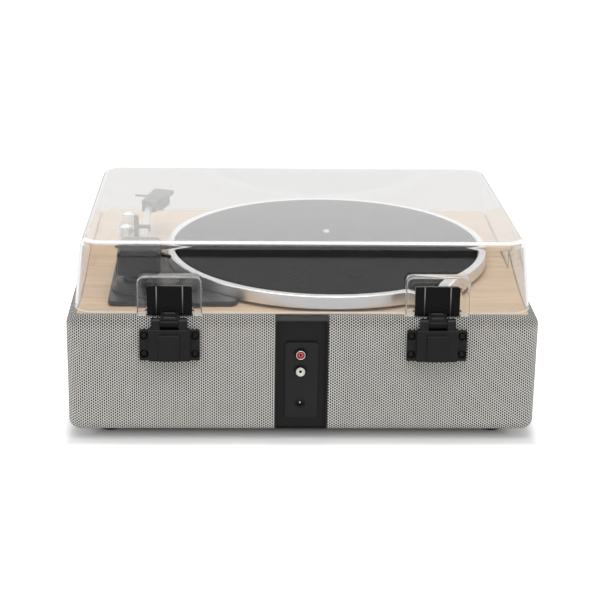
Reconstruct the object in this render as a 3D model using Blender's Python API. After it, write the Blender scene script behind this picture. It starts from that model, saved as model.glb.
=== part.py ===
"""All-in-one record player: fabric-covered plinth with speakers, oak deck, platter, tonearm and hinged clear lid.

Metres, +Z up. The front faces -Y. The origin is at the bottom centre of the whole object.
"""
import math

import bmesh
import bpy
from mathutils import Matrix, Vector

# Clearances and facets shared by all pieces
FIT = 0.0003
OVERRUN = 0.002
RELIEF = 0.0002
WELD = 0.000003
SMALL_SIDES = 8
ROUND_SIDES = 16
KNOB_SIDES = 24
DISC_SIDES = 48
CORNER_STEPS = 3

# Plinth: boards inside a fabric sleeve
WIDTH = 0.420
DEPTH = 0.333
FOOT_HEIGHT = 0.009
BOX_HEIGHT = 0.1094
FABRIC = 0.0012
PLAN_RADIUS = 0.012
EDGE_RADIUS = 0.009
BOARD = 0.012
DECK_INSET = 0.0089
DECK_THICKNESS = 0.009
BASE_THICKNESS = 0.006
FOOT_RADIUS = 0.013
FOOT_CHAMFER = 0.0015
FOOT_INSET_X = 0.0355
FOOT_INSET_Y = 0.0285

# Rear recess with the sockets
RECESS_WIDTH = 0.0476
RECESS_DEPTH = 0.0055
RECESS_WALL = 0.0015
RECESS_TOP_LIP = 0.004
RECESS_BOTTOM_LIP = 0.002
WIRING_ROOM = 0.001
SOCKET_PLATE_WIDTH = 0.0294
SOCKET_PLATE_HEIGHT = 0.0719
SOCKET_PLATE_THICKNESS = 0.0023
SOCKET_PLATE_RADIUS = 0.003
SOCKET_PLATE_Z_SHARE = 487 / 1094
SOCKET_RING_RADIUS = 0.0062
SOCKET_RING_PROUD = 0.0008
PHONO_X = 0.001
PHONO_ABOVE_MIDDLE = {"red": 0.0239, "white": 0.0079}
PHONO_RADIUS = 0.0042
PHONO_WALL = 0.0008
PHONO_PROUD = 0.0048
PHONO_BACK = 0.007
PHONO_BORE = 0.0016
PHONO_BORE_DEPTH = 0.008
PHONO_FACE_SET = 0.0004
INLET_BELOW_MIDDLE = 0.0227
INLET_RADIUS = 0.0046
INLET_BORE = 0.0032
INLET_PIN = 0.00105
INLET_LENGTH = 0.012
INLET_DEPTH = 0.009
INLET_PIN_SET = 0.0012

# Loudspeakers behind the front board
SPEAKER_X_SHARE = 115 / 420
SPEAKER_Z_SHARE = 530 / 1094
SPEAKER_OPENING = 0.0204
SPEAKER_FLANGE = 0.029
SPEAKER_FLANGE_THICKNESS = 0.002
BASKET_DEPTH = 0.016
BASKET_WALL = 0.0012
MAGNET_RADIUS = 0.018
MAGNET_LENGTH = 0.014
CONE_THICKNESS = 0.0008
CONE_THROAT = 0.007
CONE_DEPTH = 0.009
CONE_LEDGE = 0.0012
DOME_RISE = 0.003

# Amplifier board on the base, control board under the deck
AMP_SIZE = (0.110, 0.062)
AMP_FROM_REAR = 0.0815
BOARD_SHEET = 0.0016
STANDOFF_RADIUS = 0.003
STANDOFF_HEIGHT = 0.006
STANDOFF_INSET = 0.006
SINK_SIZE = (0.040, 0.010, 0.022)
CAPACITOR_RADIUS = 0.006
CAPACITOR_HEIGHT = 0.020
CAPACITOR_PITCH = 0.018
CONTROL_WIDTH = 0.024
CONTROL_MARGIN = 0.014
POT_RADIUS = 0.008
POT_HEIGHT = 0.008
BUSH_RADIUS = 0.0035
BUSH_BORE = 0.0022
BUSH_PROUD = 0.002

# Knobs at the right front of the deck
KNOB_INSET = 0.0404
KNOB_Y_SHARES = {"volume_knob": -84 / 333, "selector_knob": -41 / 333}
KNOB_RADIUS = 0.0085
KNOB_HEIGHT = 0.0180
KNOB_FLUTE = 0.00035
KNOB_SKIRT = 0.0016
KNOB_CHAMFER = 0.0012
KNOB_DISH = 0.0007
KNOB_DISH_RADIUS = 0.0055
KNOB_SHAFT = 0.0018
KNOB_SHAFT_LENGTH = 0.008

# Platter, mat, spindle and its bearing
PLATTER_EDGE_ROOM = 0.0286
PLATTER_SIDE_ROOM = 0.1112
PLATTER_END_ROOM = 0.0242
PLATTER_Y = -0.0010
PLATTER_LIFT = 0.0030
PLATTER_HEIGHT = 0.0096
PLATTER_ROUND = 0.0025
PLATTER_WEB = 0.0032
PLATTER_RIM_WALL = 0.004
BELT_RING_FROM_MOTOR = 0.032
BELT_RING_WALL = 0.0025
BELT_RING_DROP = 0.0050
HUB_RADIUS = 0.016
MAT_INSET = 0.0079
MAT_THICKNESS = 0.0030
MAT_EDGE = 0.0006
SPINDLE_RADIUS = 0.00355
SPINDLE_PROUD = 0.0124
SPINDLE_TIP = 0.0012
SHAFT_RADIUS = 0.0030
SHAFT_LENGTH = 0.020
WELL_RADIUS = 0.0065
WELL_FLANGE = 0.014
WELL_FLANGE_THICKNESS = 0.0012
WELL_WALL_BELOW = 0.002

# Motor, pulley and belt
MOTOR_ANGLE = math.radians(215)
MOTOR_FROM_RIM = 0.0424
MOTOR_RADIUS = 0.0165
MOTOR_HEIGHT = 0.024
MOTOR_COLLAR_RADIUS = 0.005
PULLEY_RADIUS = 0.0055
PULLEY_LIP = 0.0012
PULLEY_LIP_THICKNESS = 0.0006
PULLEY_SHAFT = 0.0010
BELT_HEIGHT = 0.0030
BELT_THICKNESS = 0.0008

# Tonearm base plate with its round foot
PLATE_THICKNESS = 0.005
PLATE_BESIDE_PLATTER = 0.0471
PLATE_WIDTH = 0.1145
PLATE_REAR_SHARE = 139 / 333
PLATE_FRONT_SHARE = -5 / 333
PLATE_CLEARANCE = 0.0052
PLATE_CORNER = 0.006
ARC_STEPS = 14
PIVOT_INSET = 0.0270
PIVOT_Y_SHARE = 100 / 333
PEDESTAL_RADIUS = 0.0218
PEDESTAL_FLARE = 0.0015
PEDESTAL_HEIGHT = 0.0095
PEDESTAL_STEP = 0.0024
PEDESTAL_STEP_HEIGHT = 0.0020
PEDESTAL_EDGE = 0.0010
SWING_SHAFT = 0.0040
SWITCH_INSET = 0.0555
SWITCH_FROM_REAR = 0.016
SWITCH_TRAVEL = 0.007
SWITCH_SIZE = (0.006, 0.005, 0.0042)
SWITCH_SLOT_DEPTH = 0.0018
SWITCH_EDGE = 0.0006

# Tonearm: yoke, housing, tube and head
ARM_HEIGHT = 0.0310
YOKE_DISC_RADIUS = 0.015
YOKE_DISC_HEIGHT = 0.0035
YOKE_NECK = (0.014, 0.011)
YOKE_NECK_RISE = 0.0045
TRUNNION_RADIUS = 0.0025
TRUNNION_REACH = 0.0185
HOUSING_SIZE = (0.0385, 0.0430, 0.0220)
HOUSING_BEHIND_PIVOT = 0.002
HOUSING_DROP = 0.0070
HOUSING_WALL = 0.0022
HOUSING_CORNER = 0.004
HOUSING_CHAMFER = 0.0034
WEIGHT_DEPTH = 0.0105
WEIGHT_HEIGHT = 0.0140
TUBE_RADIUS = 0.0035
TUBE_WALL = 0.0008
TUBE_BEFORE_PIVOT = 0.0105
TUBE_FRONT_Y_SHARE = -58 / 333
HEAD_OFFSET = math.radians(17.5)
HEAD_WIDTH = 0.0215
HEAD_NECK_WIDTH = 0.0146
HEAD_HEIGHT = 0.0034
HEAD_LENGTH = 0.0465
HEAD_TAPER_START = 0.012
HEAD_FRONT_TAPER = 0.003
HEAD_WALL = 0.0016
HEAD_EDGE = 0.0012
HEAD_TOP_ABOVE_TUBE = 0.0076
HEAD_BLOCK_DROP = 0.0036
COLLAR_RADIUS = 0.0047
COLLAR_LENGTH = 0.0095
COLLAR_OVERLAP = 0.007
LIFT_LENGTH = 0.0115
LIFT_WIDTH = 0.0042
LIFT_THICKNESS = 0.0014
LIFT_PLACE_SHARE = 0.50
CARTRIDGE_WIDTH = 0.0165
CARTRIDGE_REAR = 0.014
CARTRIDGE_FRONT = 0.0430
CARTRIDGE_DROP = 0.0096
STYLUS_WIDTH = 0.0080
STYLUS_REAR = 0.030
STYLUS_DROP = 0.0036
STYLUS_TIP_SIDE = 0.0012
RECORD_THICKNESS = 0.0015

# Arm rest and clip
REST_Y_SHARE = 36.5 / 333
REST_BESIDE_PIVOT = 0.0063
REST_POST = (0.0042, 0.0050)
REST_RISE = 0.0523
REST_FOOT_RADIUS = 0.0052
REST_FOOT_HEIGHT = 0.003
REST_FLOOR_LENGTH = 0.0125
REST_FLOOR_THICKNESS = 0.003
CLIP_GAP = 0.0042
CLIP_BAR = 0.0030
CLIP_LENGTH = 0.0125
CLIP_HOOK = 0.0028
CLIP_THICKNESS = 0.0030
CLIP_PIN_RADIUS = 0.0010
CLIP_EYE_RADIUS = 0.0024

# Cue lever and the bar that it raises under the tube
CUE_RADIUS = 0.038
CUE_BAR_WIDTH = 0.0030
CUE_BAR_THICKNESS = 0.0026
CUE_BAR_START = math.radians(-95)
CUE_BAR_END = math.radians(-134)
CUE_STEM_RADIUS = 0.0020
CUE_STEM_ANGLE = math.radians(-114)
CUE_STEM_SINK = 0.004
CUE_GAP = 0.0008
CUE_LEVER_INSET = 0.0055
CUE_LEVER_Y_SHARE = 56 / 333
CUE_LEVER_RISE = 0.0050
CUE_LEVER_LENGTH = 0.030
CUE_LEVER_WIDTH = 0.0030
CUE_LEVER_HEIGHT = 0.0032
CUE_LEVER_PAD = 0.0070
CUE_EYE_RADIUS = 0.0030
CUE_PIN_RADIUS = 0.0012
CUE_CHEEK = 0.0016
CUE_CHEEK_HEIGHT = 0.0082
CUE_CHEEK_LENGTH = 0.0070

# Clear lid with two pockets for the hinge leaves
LID_SIDE_INSET = 0.0063
LID_REAR_INSET = 0.0087
LID_FRONT_INSET = 0.0066
LID_GAP = 0.0010
LID_WALL = 0.0022
LID_ARM_ROOM = 0.0187
LID_FRONT_DROP = 0.0147
LID_SIDE_DRAFT = 0.0066
LID_END_DRAFT = 0.0045
LID_PLAN_RADIUS = 0.019
LID_EDGE_RADIUS = 0.0065
BUMPER_LENGTH = 0.027
BUMPER_WIDTH = 0.0026
BUMPER_Y_SHARE = -99 / 333
POCKET_WIDTH = 0.0570
POCKET_HEIGHT = 0.0360
POCKET_OUTSET = 0.0012
POCKET_WALL = 0.0018
POCKET_RADIUS = 0.006
POCKET_NOTCH_WIDTH = 0.0206
POCKET_NOTCH_HEIGHT = 0.0096

# Hinges
HINGE_X_SHARE = 1183 / 4200
PIN_DROP = 0.0048
PIN_BEHIND = 0.0045
PIN_RADIUS = 0.0015
PLATE_WIDTH_HINGE = 0.0535
PLATE_LOW_DROP = 0.0394
PLATE_HIGH_DROP = 0.0111
PLATE_SHEET = 0.0034
PLATE_EDGE = 0.0012
HOUSE_WIDTH = 0.0366
HOUSE_PROUD = 0.0085
HOUSE_DROP = 0.0094
RIB_WIDTH = 0.0180
RIB_PROUD = 0.0105
RIB_DROP = 0.0139
RIB_EDGE = 0.0010
CHEEK_OUTER = 0.0315
CHEEK_DROP = 0.0016
SLOT_WIDTH = 0.0166
SLOT_DROP = 0.0092
KNUCKLE_WIDTH = 0.0160
KNUCKLE_RADIUS = 0.0036
LEAF_WIDTH = 0.0397
LEAF_RISE = 0.0004
LEAF_HEIGHT = 0.0274
LEAF_THICKNESS = 0.0034
LEAF_RADIUS = 0.0035
LEAF_RIB = 0.0008
LEAF_RIB_X = 0.0115
LEAF_ARM_THICKNESS = 0.0034
CATCH_WIDTH = 0.0100
CATCH_HEIGHT = 0.0054
CATCH_PROUD = 0.0014
SCREW_X = 0.0225
SCREW_DROPS = (0.0332, 0.0162)
SCREW_HEAD_RADIUS = 0.0028
SCREW_HEAD_HEIGHT = 0.0016
SCREW_SHANK = 0.0014
SCREW_REACH = 0.0085
SCREW_SINK_DEPTH = 0.0020

# Levels and planes that follow from the sizes above
MID_Y = -RIB_PROUD / 2
REAR = MID_Y + DEPTH / 2
FRONT = MID_Y - DEPTH / 2
TOP = FOOT_HEIGHT + BOX_HEIGHT
PLATE_TOP = TOP + PLATE_THICKNESS
PEDESTAL_TOP = PLATE_TOP + PEDESTAL_HEIGHT
ARM_Z = TOP + ARM_HEIGHT
RIM_LOW = TOP + PLATTER_LIFT
RIM_TOP = RIM_LOW + PLATTER_HEIGHT
MAT_TOP = RIM_TOP + MAT_THICKNESS
WEB_LOW = RIM_TOP - PLATTER_WEB
DECK_LOW = TOP - DECK_THICKNESS
SOCKET_PLATE_Z = FOOT_HEIGHT + BOX_HEIGHT * SOCKET_PLATE_Z_SHARE
PHONO_HEIGHTS = {name: SOCKET_PLATE_Z + rise for name, rise in PHONO_ABOVE_MIDDLE.items()}
INLET_Z = SOCKET_PLATE_Z - INLET_BELOW_MIDDLE
SPEAKER_Z = FOOT_HEIGHT + BOX_HEIGHT * SPEAKER_Z_SHARE
PIN_Y = REAR + PIN_BEHIND
PIN_Z = TOP - PIN_DROP
PLATE_LOW = TOP - PLATE_LOW_DROP
PLATE_HIGH = TOP - PLATE_HIGH_DROP
HOUSE_HIGH = TOP - HOUSE_DROP
RIB_HIGH = TOP - RIB_DROP
CHEEK_TOP = TOP - CHEEK_DROP
SLOT_FLOOR = TOP - SLOT_DROP
LEAF_LOW = TOP + LEAF_RISE
LEAF_HIGH = LEAF_LOW + LEAF_HEIGHT
SCREW_HEIGHTS = tuple(TOP - drop for drop in SCREW_DROPS)
FOOT_X = WIDTH / 2 - FOOT_INSET_X
FOOT_Y = DEPTH / 2 - FOOT_INSET_Y
SPEAKER_X = WIDTH * SPEAKER_X_SHARE
AMP_Y = DEPTH / 2 - AMP_FROM_REAR
KNOB_X = WIDTH / 2 - KNOB_INSET
KNOB_PLACES = {name: DEPTH * share for name, share in KNOB_Y_SHARES.items()}
PLATTER_RADIUS = min(WIDTH - PLATTER_SIDE_ROOM, DEPTH - PLATTER_END_ROOM) / 2
PLATTER_CENTRE = Vector((PLATTER_EDGE_ROOM + PLATTER_RADIUS - WIDTH / 2, MID_Y + PLATTER_Y, RIM_LOW))
MAT_RADIUS = PLATTER_RADIUS - MAT_INSET
MOTOR_REACH = PLATTER_RADIUS - MOTOR_FROM_RIM
BELT_RING_RADIUS = MOTOR_REACH - BELT_RING_FROM_MOTOR
PLATE_RIGHT = PLATTER_CENTRE.x + PLATTER_RADIUS + PLATE_BESIDE_PLATTER
PLATE_LEFT = PLATE_RIGHT - PLATE_WIDTH
PLATE_REAR = DEPTH * PLATE_REAR_SHARE
PLATE_FRONT = DEPTH * PLATE_FRONT_SHARE
PIVOT_X = PLATE_RIGHT - PIVOT_INSET
PIVOT_Y = DEPTH * PIVOT_Y_SHARE
PIVOT = Vector((PIVOT_X, MID_Y + PIVOT_Y, ARM_Z))
SWITCH_X = PLATE_RIGHT - SWITCH_INSET
SWITCH_Y = PLATE_REAR - SWITCH_FROM_REAR
HOUSING_CENTRE_Y = PIVOT_Y + HOUSING_BEHIND_PIVOT
TUBE_REAR_Y = PIVOT_Y - TUBE_BEFORE_PIVOT
TUBE_FRONT_Y = DEPTH * TUBE_FRONT_Y_SHARE
REST_POST_X = PIVOT_X + REST_BESIDE_PIVOT
REST_Y = DEPTH * REST_Y_SHARE
CUE_LEVER_X = PLATE_RIGHT - CUE_LEVER_INSET
CUE_LEVER_Y = DEPTH * CUE_LEVER_Y_SHARE
LID_WIDTH = WIDTH - LID_SIDE_INSET * 2
LID_REAR_TOP = ARM_Z - HOUSING_DROP + HOUSING_SIZE[2] + LID_ARM_ROOM
BUMPER_Y = DEPTH * BUMPER_Y_SHARE
HINGE_X = WIDTH * HINGE_X_SHARE


def clear_scene():
    for old in list(bpy.data.objects):
        bpy.data.objects.remove(old, do_unlink=True)


def material(name, colour, roughness, metallic=0.0, alpha=1.0):
    finish = bpy.data.materials.new(name)
    finish.use_nodes = True
    shader = finish.node_tree.nodes["Principled BSDF"]
    shader.inputs["Base Color"].default_value = (*colour, 1)
    shader.inputs["Roughness"].default_value = roughness
    shader.inputs["Metallic"].default_value = metallic
    shader.inputs["Alpha"].default_value = alpha
    finish.diffuse_color = (*colour, alpha)
    return finish


def smooth(mesh):
    mesh.shade_smooth()
    mesh.set_sharp_from_angle(angle=math.radians(35))


def piece(name, bm, finish=None, origin=(0, 0, 0)):
    """An object from a bmesh in world places, with its own origin on its joint's axis."""
    bmesh.ops.recalc_face_normals(bm, faces=bm.faces)
    bmesh.ops.translate(bm, verts=bm.verts, vec=-Vector(origin))
    mesh = bpy.data.meshes.new(name)
    bm.to_mesh(mesh)
    bm.free()
    made = bpy.data.objects.new(name, mesh)
    made.location = origin
    bpy.context.collection.objects.link(made)
    if finish:
        mesh.materials.append(finish)
    return made


def combine(target, operation, tools):
    """Runs one exact Boolean for each tool and leaves its result as the target's own mesh."""
    for tool in tools:
        step = target.modifiers.new("combine", "BOOLEAN")
        step.operation = operation
        step.solver = "EXACT"
        step.object = tool
        bpy.context.view_layer.update()
        seen = target.evaluated_get(bpy.context.evaluated_depsgraph_get())
        result = bpy.data.meshes.new_from_object(seen)
        target.modifiers.remove(step)
        bm = bmesh.new()
        bm.from_mesh(result)
        bmesh.ops.remove_doubles(bm, verts=bm.verts, dist=WELD)
        bm.to_mesh(result)
        bm.free()
        target.data = result
        bpy.data.objects.remove(tool, do_unlink=True)
    return target


def cut(target, *tools):
    return combine(target, "DIFFERENCE", tools)


def join(target, *tools):
    return combine(target, "UNION", tools)


def keep(target, *tools):
    return combine(target, "INTERSECT", tools)


def finished(made, finish):
    """Gives a combined piece its one material and smooth shading."""
    made.data.materials.clear()
    made.data.materials.append(finish)
    smooth(made.data)
    return made


def box_bm(low, high):
    bm = bmesh.new()
    bmesh.ops.create_cube(bm, size=1)
    low, high = Vector(low), Vector(high)
    bmesh.ops.scale(bm, verts=bm.verts, vec=high - low)
    bmesh.ops.translate(bm, verts=bm.verts, vec=(low + high) / 2)
    return bm


def bevel(bm, edges, size, steps):
    bmesh.ops.bevel(bm, geom=edges, offset=size, segments=steps, profile=0.5, affect="EDGES", clamp_overlap=True)


def runs_along(edge, axis):
    span = edge.verts[1].co - edge.verts[0].co
    return abs(span[axis]) > span.length * 0.999


def lies_at(edge, axis, value):
    return all(abs(vert.co[axis] - value) < WELD for vert in edge.verts)


def block(low, high, corner=0.0, axis=2, edge=0.0, steps=2, sides=(True, True)):
    """A box with corners rounded along one axis, and rounded edges round either end of that axis."""
    bm = box_bm(low, high)
    if corner:
        bevel(bm, [e for e in bm.edges if runs_along(e, axis)], corner, CORNER_STEPS)
    ends = [plane for plane, wanted in zip((low[axis], high[axis]), sides) if wanted]
    if edge:
        bevel(bm, [e for e in bm.edges if any(lies_at(e, axis, end) for end in ends)], edge, steps)
    return bm


def about(centre, half_x, half_y, low, high):
    """Low and high corners of a box that is centred in plan."""
    return ((centre[0] - half_x, centre[1] - half_y, low), (centre[0] + half_x, centre[1] + half_y, high))


def turned(profile, centre, axis="Z", sides=ROUND_SIDES, flute=0.0):
    """A solid turned from a profile of (radius, height) points that starts and ends on the axis or closes a ring."""
    bm = bmesh.new()
    solid_core = profile[0][0] == 0 and profile[-1][0] == 0
    verts = [bm.verts.new((radius, 0, height)) for radius, height in profile]
    pairs = list(zip(verts, verts[1:]))
    if not solid_core:
        pairs.append((verts[-1], verts[0]))
    edges = [bm.edges.new(pair) for pair in pairs]
    bmesh.ops.spin(bm, geom=verts + edges, cent=(0, 0, 0), axis=(0, 0, 1), angle=math.tau, steps=sides, use_merge=True)
    bmesh.ops.remove_doubles(bm, verts=bm.verts, dist=WELD)
    if flute:
        deepen_flutes(bm, flute, sides)
    turn = {"Z": Matrix(), "Y": Matrix.Rotation(-math.pi / 2, 4, "X"), "X": Matrix.Rotation(math.pi / 2, 4, "Y")}
    bmesh.ops.transform(bm, matrix=Matrix.Translation(centre) @ turn[axis], verts=bm.verts)
    return bm


def deepen_flutes(bm, depth, sides):
    """Draws every second side line inwards, where the radius is at its largest."""
    widest = max(vert.co.xy.length for vert in bm.verts)
    for vert in bm.verts:
        place = round(math.atan2(vert.co.y, vert.co.x) / math.tau * sides)
        if place % 2 and vert.co.xy.length > widest - depth:
            vert.co.xy *= (widest - depth) / widest


def rod(centre, radius, low, high, axis="Z", sides=SMALL_SIDES):
    """A plain round bar between two distances from the centre along its axis."""
    return turned([(0, low), (radius, low), (radius, high), (0, high)], centre, axis, sides)


def arc(centre, radius, start, end, steps):
    return [(centre[0] + radius * math.cos(start + (end - start) * k / steps),
             centre[1] + radius * math.sin(start + (end - start) * k / steps)) for k in range(steps + 1)]


def slab(outline, low, high):
    """A plan outline drawn up into a solid."""
    bm = bmesh.new()
    face = bm.faces.new([bm.verts.new((x, y, low)) for x, y in outline])
    grown = bmesh.ops.extrude_face_region(bm, geom=[face])
    top = [item for item in grown["geom"] if isinstance(item, bmesh.types.BMVert)]
    bmesh.ops.translate(bm, verts=top, vec=(0, 0, high - low))
    return bm


def side_slab(outline, low, high):
    """A side outline of (y, z) points drawn out along X."""
    bm = slab(outline, low, high)
    turn = Matrix(((0, 0, 1, 0), (1, 0, 0, 0), (0, 1, 0, 0), (0, 0, 0, 1)))
    bmesh.ops.transform(bm, matrix=turn, verts=bm.verts)
    return bm


def front_slab(outline, low, high):
    """A front outline of (x, z) points drawn out along Y."""
    bm = slab(outline, low, high)
    turn = Matrix(((1, 0, 0, 0), (0, 0, 1, 0), (0, 1, 0, 0), (0, 0, 0, 1)))
    bmesh.ops.transform(bm, matrix=turn, verts=bm.verts)
    return bm


def tool(bm):
    return piece("tool", bm)


def plinth_form(inset):
    """The plinth's rounded outside, drawn in by an inset."""
    centre = (0, MID_Y)
    low, high = about(centre, WIDTH / 2 - inset, DEPTH / 2 - inset, FOOT_HEIGHT + inset, TOP - inset)
    return block(low, high, PLAN_RADIUS - inset, 2, EDGE_RADIUS - inset, CORNER_STEPS)


def plan_block(inset, low, high, corner=0.0):
    """A block with the plinth's plan, drawn in by an inset, between two heights."""
    bottom, top = about((0, MID_Y), WIDTH / 2 - inset, DEPTH / 2 - inset, low, high)
    return block(bottom, top, corner)


def screw_places():
    for side in (-1, 1):
        for across in (-1, 1):
            for height in SCREW_HEIGHTS:
                yield side * HINGE_X + across * SCREW_X, height


def make_fabric(cloth):
    cover = tool(plinth_form(0))
    cut(cover, tool(plinth_form(FABRIC)))
    cut(cover, tool(plan_block(DECK_INSET, TOP - BOARD, TOP + OVERRUN, PLAN_RADIUS - DECK_INSET)))
    cut(cover, tool(plan_block(FABRIC + FIT + BOARD, 0, FOOT_HEIGHT + BOARD)))
    slot = RECESS_WIDTH / 2
    cut(cover, tool(box_bm((-slot, REAR - DECK_INSET - OVERRUN, 0), (slot, REAR + OVERRUN, TOP + OVERRUN))))
    for x, z in screw_places():
        cut(cover, tool(rod((x, REAR, z), SCREW_SHANK + FIT, -BOARD, OVERRUN, "Y")))
    cover.name = "fabric_cover"
    return finished(cover, cloth)


def make_boards(fibreboard):
    """Four walls cut from one rounded block, rebated for the deck and channelled for the recess."""
    skin = FABRIC + FIT
    inner = skin + BOARD
    far = WIDTH
    spans = {
        "front_board": ((-far, -far, 0), (far, FRONT + inner, far)),
        "rear_board": ((-far, REAR - inner, 0), (far, far, far)),
        "left_board": ((-far, FRONT + inner + FIT, 0), (0, REAR - inner - FIT, far)),
        "right_board": ((0, FRONT + inner + FIT, 0), (far, REAR - inner - FIT, far)),
    }
    for name, (low, high) in spans.items():
        wall = tool(plinth_form(skin))
        keep(wall, tool(box_bm(low, high)))
        cut(wall, tool(plan_block(inner, 0, TOP + OVERRUN)))
        rebate = plan_block(DECK_INSET - FIT, DECK_LOW - FIT, TOP + OVERRUN, PLAN_RADIUS - DECK_INSET)
        cut(wall, tool(rebate))
        if name == "front_board":
            for side in (-1, 1):
                place = (side * SPEAKER_X, FRONT, SPEAKER_Z)
                cut(wall, tool(rod(place, SPEAKER_OPENING, -OVERRUN, inner + OVERRUN, "Y", ROUND_SIDES)))
        if name == "rear_board":
            half = RECESS_WIDTH / 2 + FIT
            back = REAR - DECK_INSET - FIT
            cut(wall, tool(box_bm((-half, back, 0), (half, REAR + OVERRUN, TOP + OVERRUN))))
            cut_socket_holes(wall, REAR, inner + OVERRUN, WIRING_ROOM)
            for x, z in screw_places():
                reach = SCREW_REACH + OVERRUN / 2
                cut(wall, tool(rod((x, REAR, z), SCREW_SHANK + FIT, -reach, OVERRUN, "Y")))
        wall.name = name
        finished(wall, fibreboard)


def cut_socket_holes(target, face, reach, room):
    """Round holes for the three sockets, from in front of a face to a depth behind it."""
    for height in PHONO_HEIGHTS.values():
        place = (PHONO_X, face, height)
        cut(target, tool(rod(place, PHONO_RADIUS + room, -reach, OVERRUN, "Y", ROUND_SIDES)))
    cut(target, tool(rod((PHONO_X, face, INLET_Z), INLET_RADIUS + room, -reach, OVERRUN, "Y", ROUND_SIDES)))


def make_deck(oak):
    inset = DECK_INSET + FIT
    deck = tool(plan_block(inset, DECK_LOW, TOP, PLAN_RADIUS - DECK_INSET))
    through = (DECK_LOW - TOP - OVERRUN, OVERRUN)
    cut(deck, tool(rod((*PLATTER_CENTRE.xy, TOP), WELL_RADIUS + FIT, *through, sides=ROUND_SIDES)))
    cut(deck, tool(rod((*motor_place(), TOP), MOTOR_COLLAR_RADIUS + FIT, *through, sides=ROUND_SIDES)))
    for y in KNOB_PLACES.values():
        cut(deck, tool(rod((KNOB_X, MID_Y + y, TOP), BUSH_RADIUS + FIT, *through)))
    deck.name = "deck_board"
    return finished(deck, oak)


def make_base(fibreboard, rubber):
    inset = FABRIC + BOARD + FIT * 2
    base = tool(plan_block(inset, FOOT_HEIGHT, FOOT_HEIGHT + BASE_THICKNESS))
    base.name = "base_panel"
    finished(base, fibreboard)
    profile = [(0, 0), (FOOT_RADIUS - FOOT_CHAMFER, 0), (FOOT_RADIUS, FOOT_CHAMFER),
               (FOOT_RADIUS, FOOT_HEIGHT - FIT), (0, FOOT_HEIGHT - FIT)]
    for name, x, y in (("foot_front_left", -1, -1), ("foot_front_right", 1, -1),
                       ("foot_rear_left", -1, 1), ("foot_rear_right", 1, 1)):
        made = piece(name, turned(profile, (x * FOOT_X, MID_Y + y * FOOT_Y, 0)), rubber)
        smooth(made.data)


def make_recess(plastic, socket_plastic):
    """A black trough let into the rear, with a raised plate for the sockets."""
    half = RECESS_WIDTH / 2 - FIT
    trough = tool(plinth_form(0))
    back = REAR - DECK_INSET + FIT
    keep(trough, tool(box_bm((-half, back, 0), (half, REAR + OVERRUN, TOP + OVERRUN))))
    inner = half - RECESS_WALL
    floor = REAR - RECESS_DEPTH
    low = (-inner, floor, FOOT_HEIGHT + RECESS_BOTTOM_LIP)
    cut(trough, tool(box_bm(low, (inner, REAR + OVERRUN, TOP - RECESS_TOP_LIP))))
    cut_socket_holes(trough, floor, DECK_INSET, FIT)
    trough.name = "rear_panel"
    finished(trough, plastic)

    face = floor + FIT + SOCKET_PLATE_THICKNESS
    half = SOCKET_PLATE_WIDTH / 2
    rise = SOCKET_PLATE_HEIGHT / 2
    low = (-half, floor + FIT, SOCKET_PLATE_Z - rise)
    high = (half, face, SOCKET_PLATE_Z + rise)
    plate = tool(block(low, high, SOCKET_PLATE_RADIUS, 1, SOCKET_PLATE_THICKNESS / 3, 2, (False, True)))
    for height in PHONO_HEIGHTS.values():
        ring = rod((PHONO_X, face, height), SOCKET_RING_RADIUS, -SOCKET_RING_PROUD, SOCKET_RING_PROUD, "Y", ROUND_SIDES)
        join(plate, tool(ring))
    cut_socket_holes(plate, face, DECK_INSET, FIT)
    plate.name = "socket_plate"
    return finished(plate, socket_plastic), face


def make_sockets(face, nickel, insulators, plastic):
    for colour, height in PHONO_HEIGHTS.items():
        centre = (PHONO_X, face, height)
        inner = PHONO_RADIUS - PHONO_WALL
        sleeve = [(inner, -PHONO_BACK), (PHONO_RADIUS, -PHONO_BACK), (PHONO_RADIUS, PHONO_PROUD), (inner, PHONO_PROUD)]
        made = piece("phono_sleeve_" + colour, turned(sleeve, centre, "Y"), nickel)
        smooth(made.data)
        outer = inner - FIT
        front = PHONO_PROUD - PHONO_FACE_SET
        core = [(0, -PHONO_BACK), (outer, -PHONO_BACK), (outer, front), (PHONO_BORE, front),
                (PHONO_BORE, front - PHONO_BORE_DEPTH), (0, front - PHONO_BORE_DEPTH)]
        made = piece("phono_insulator_" + colour, turned(core, centre, "Y"), insulators[colour])
        smooth(made.data)
    profile = [(0, -INLET_LENGTH), (INLET_RADIUS, -INLET_LENGTH), (INLET_RADIUS, 0), (INLET_BORE, 0),
               (INLET_BORE, -INLET_DEPTH), (INLET_PIN, -INLET_DEPTH), (INLET_PIN, -INLET_PIN_SET), (0, -INLET_PIN_SET)]
    made = piece("power_inlet", turned(profile, (PHONO_X, face, INLET_Z), "Y"), plastic)
    smooth(made.data)


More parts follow.
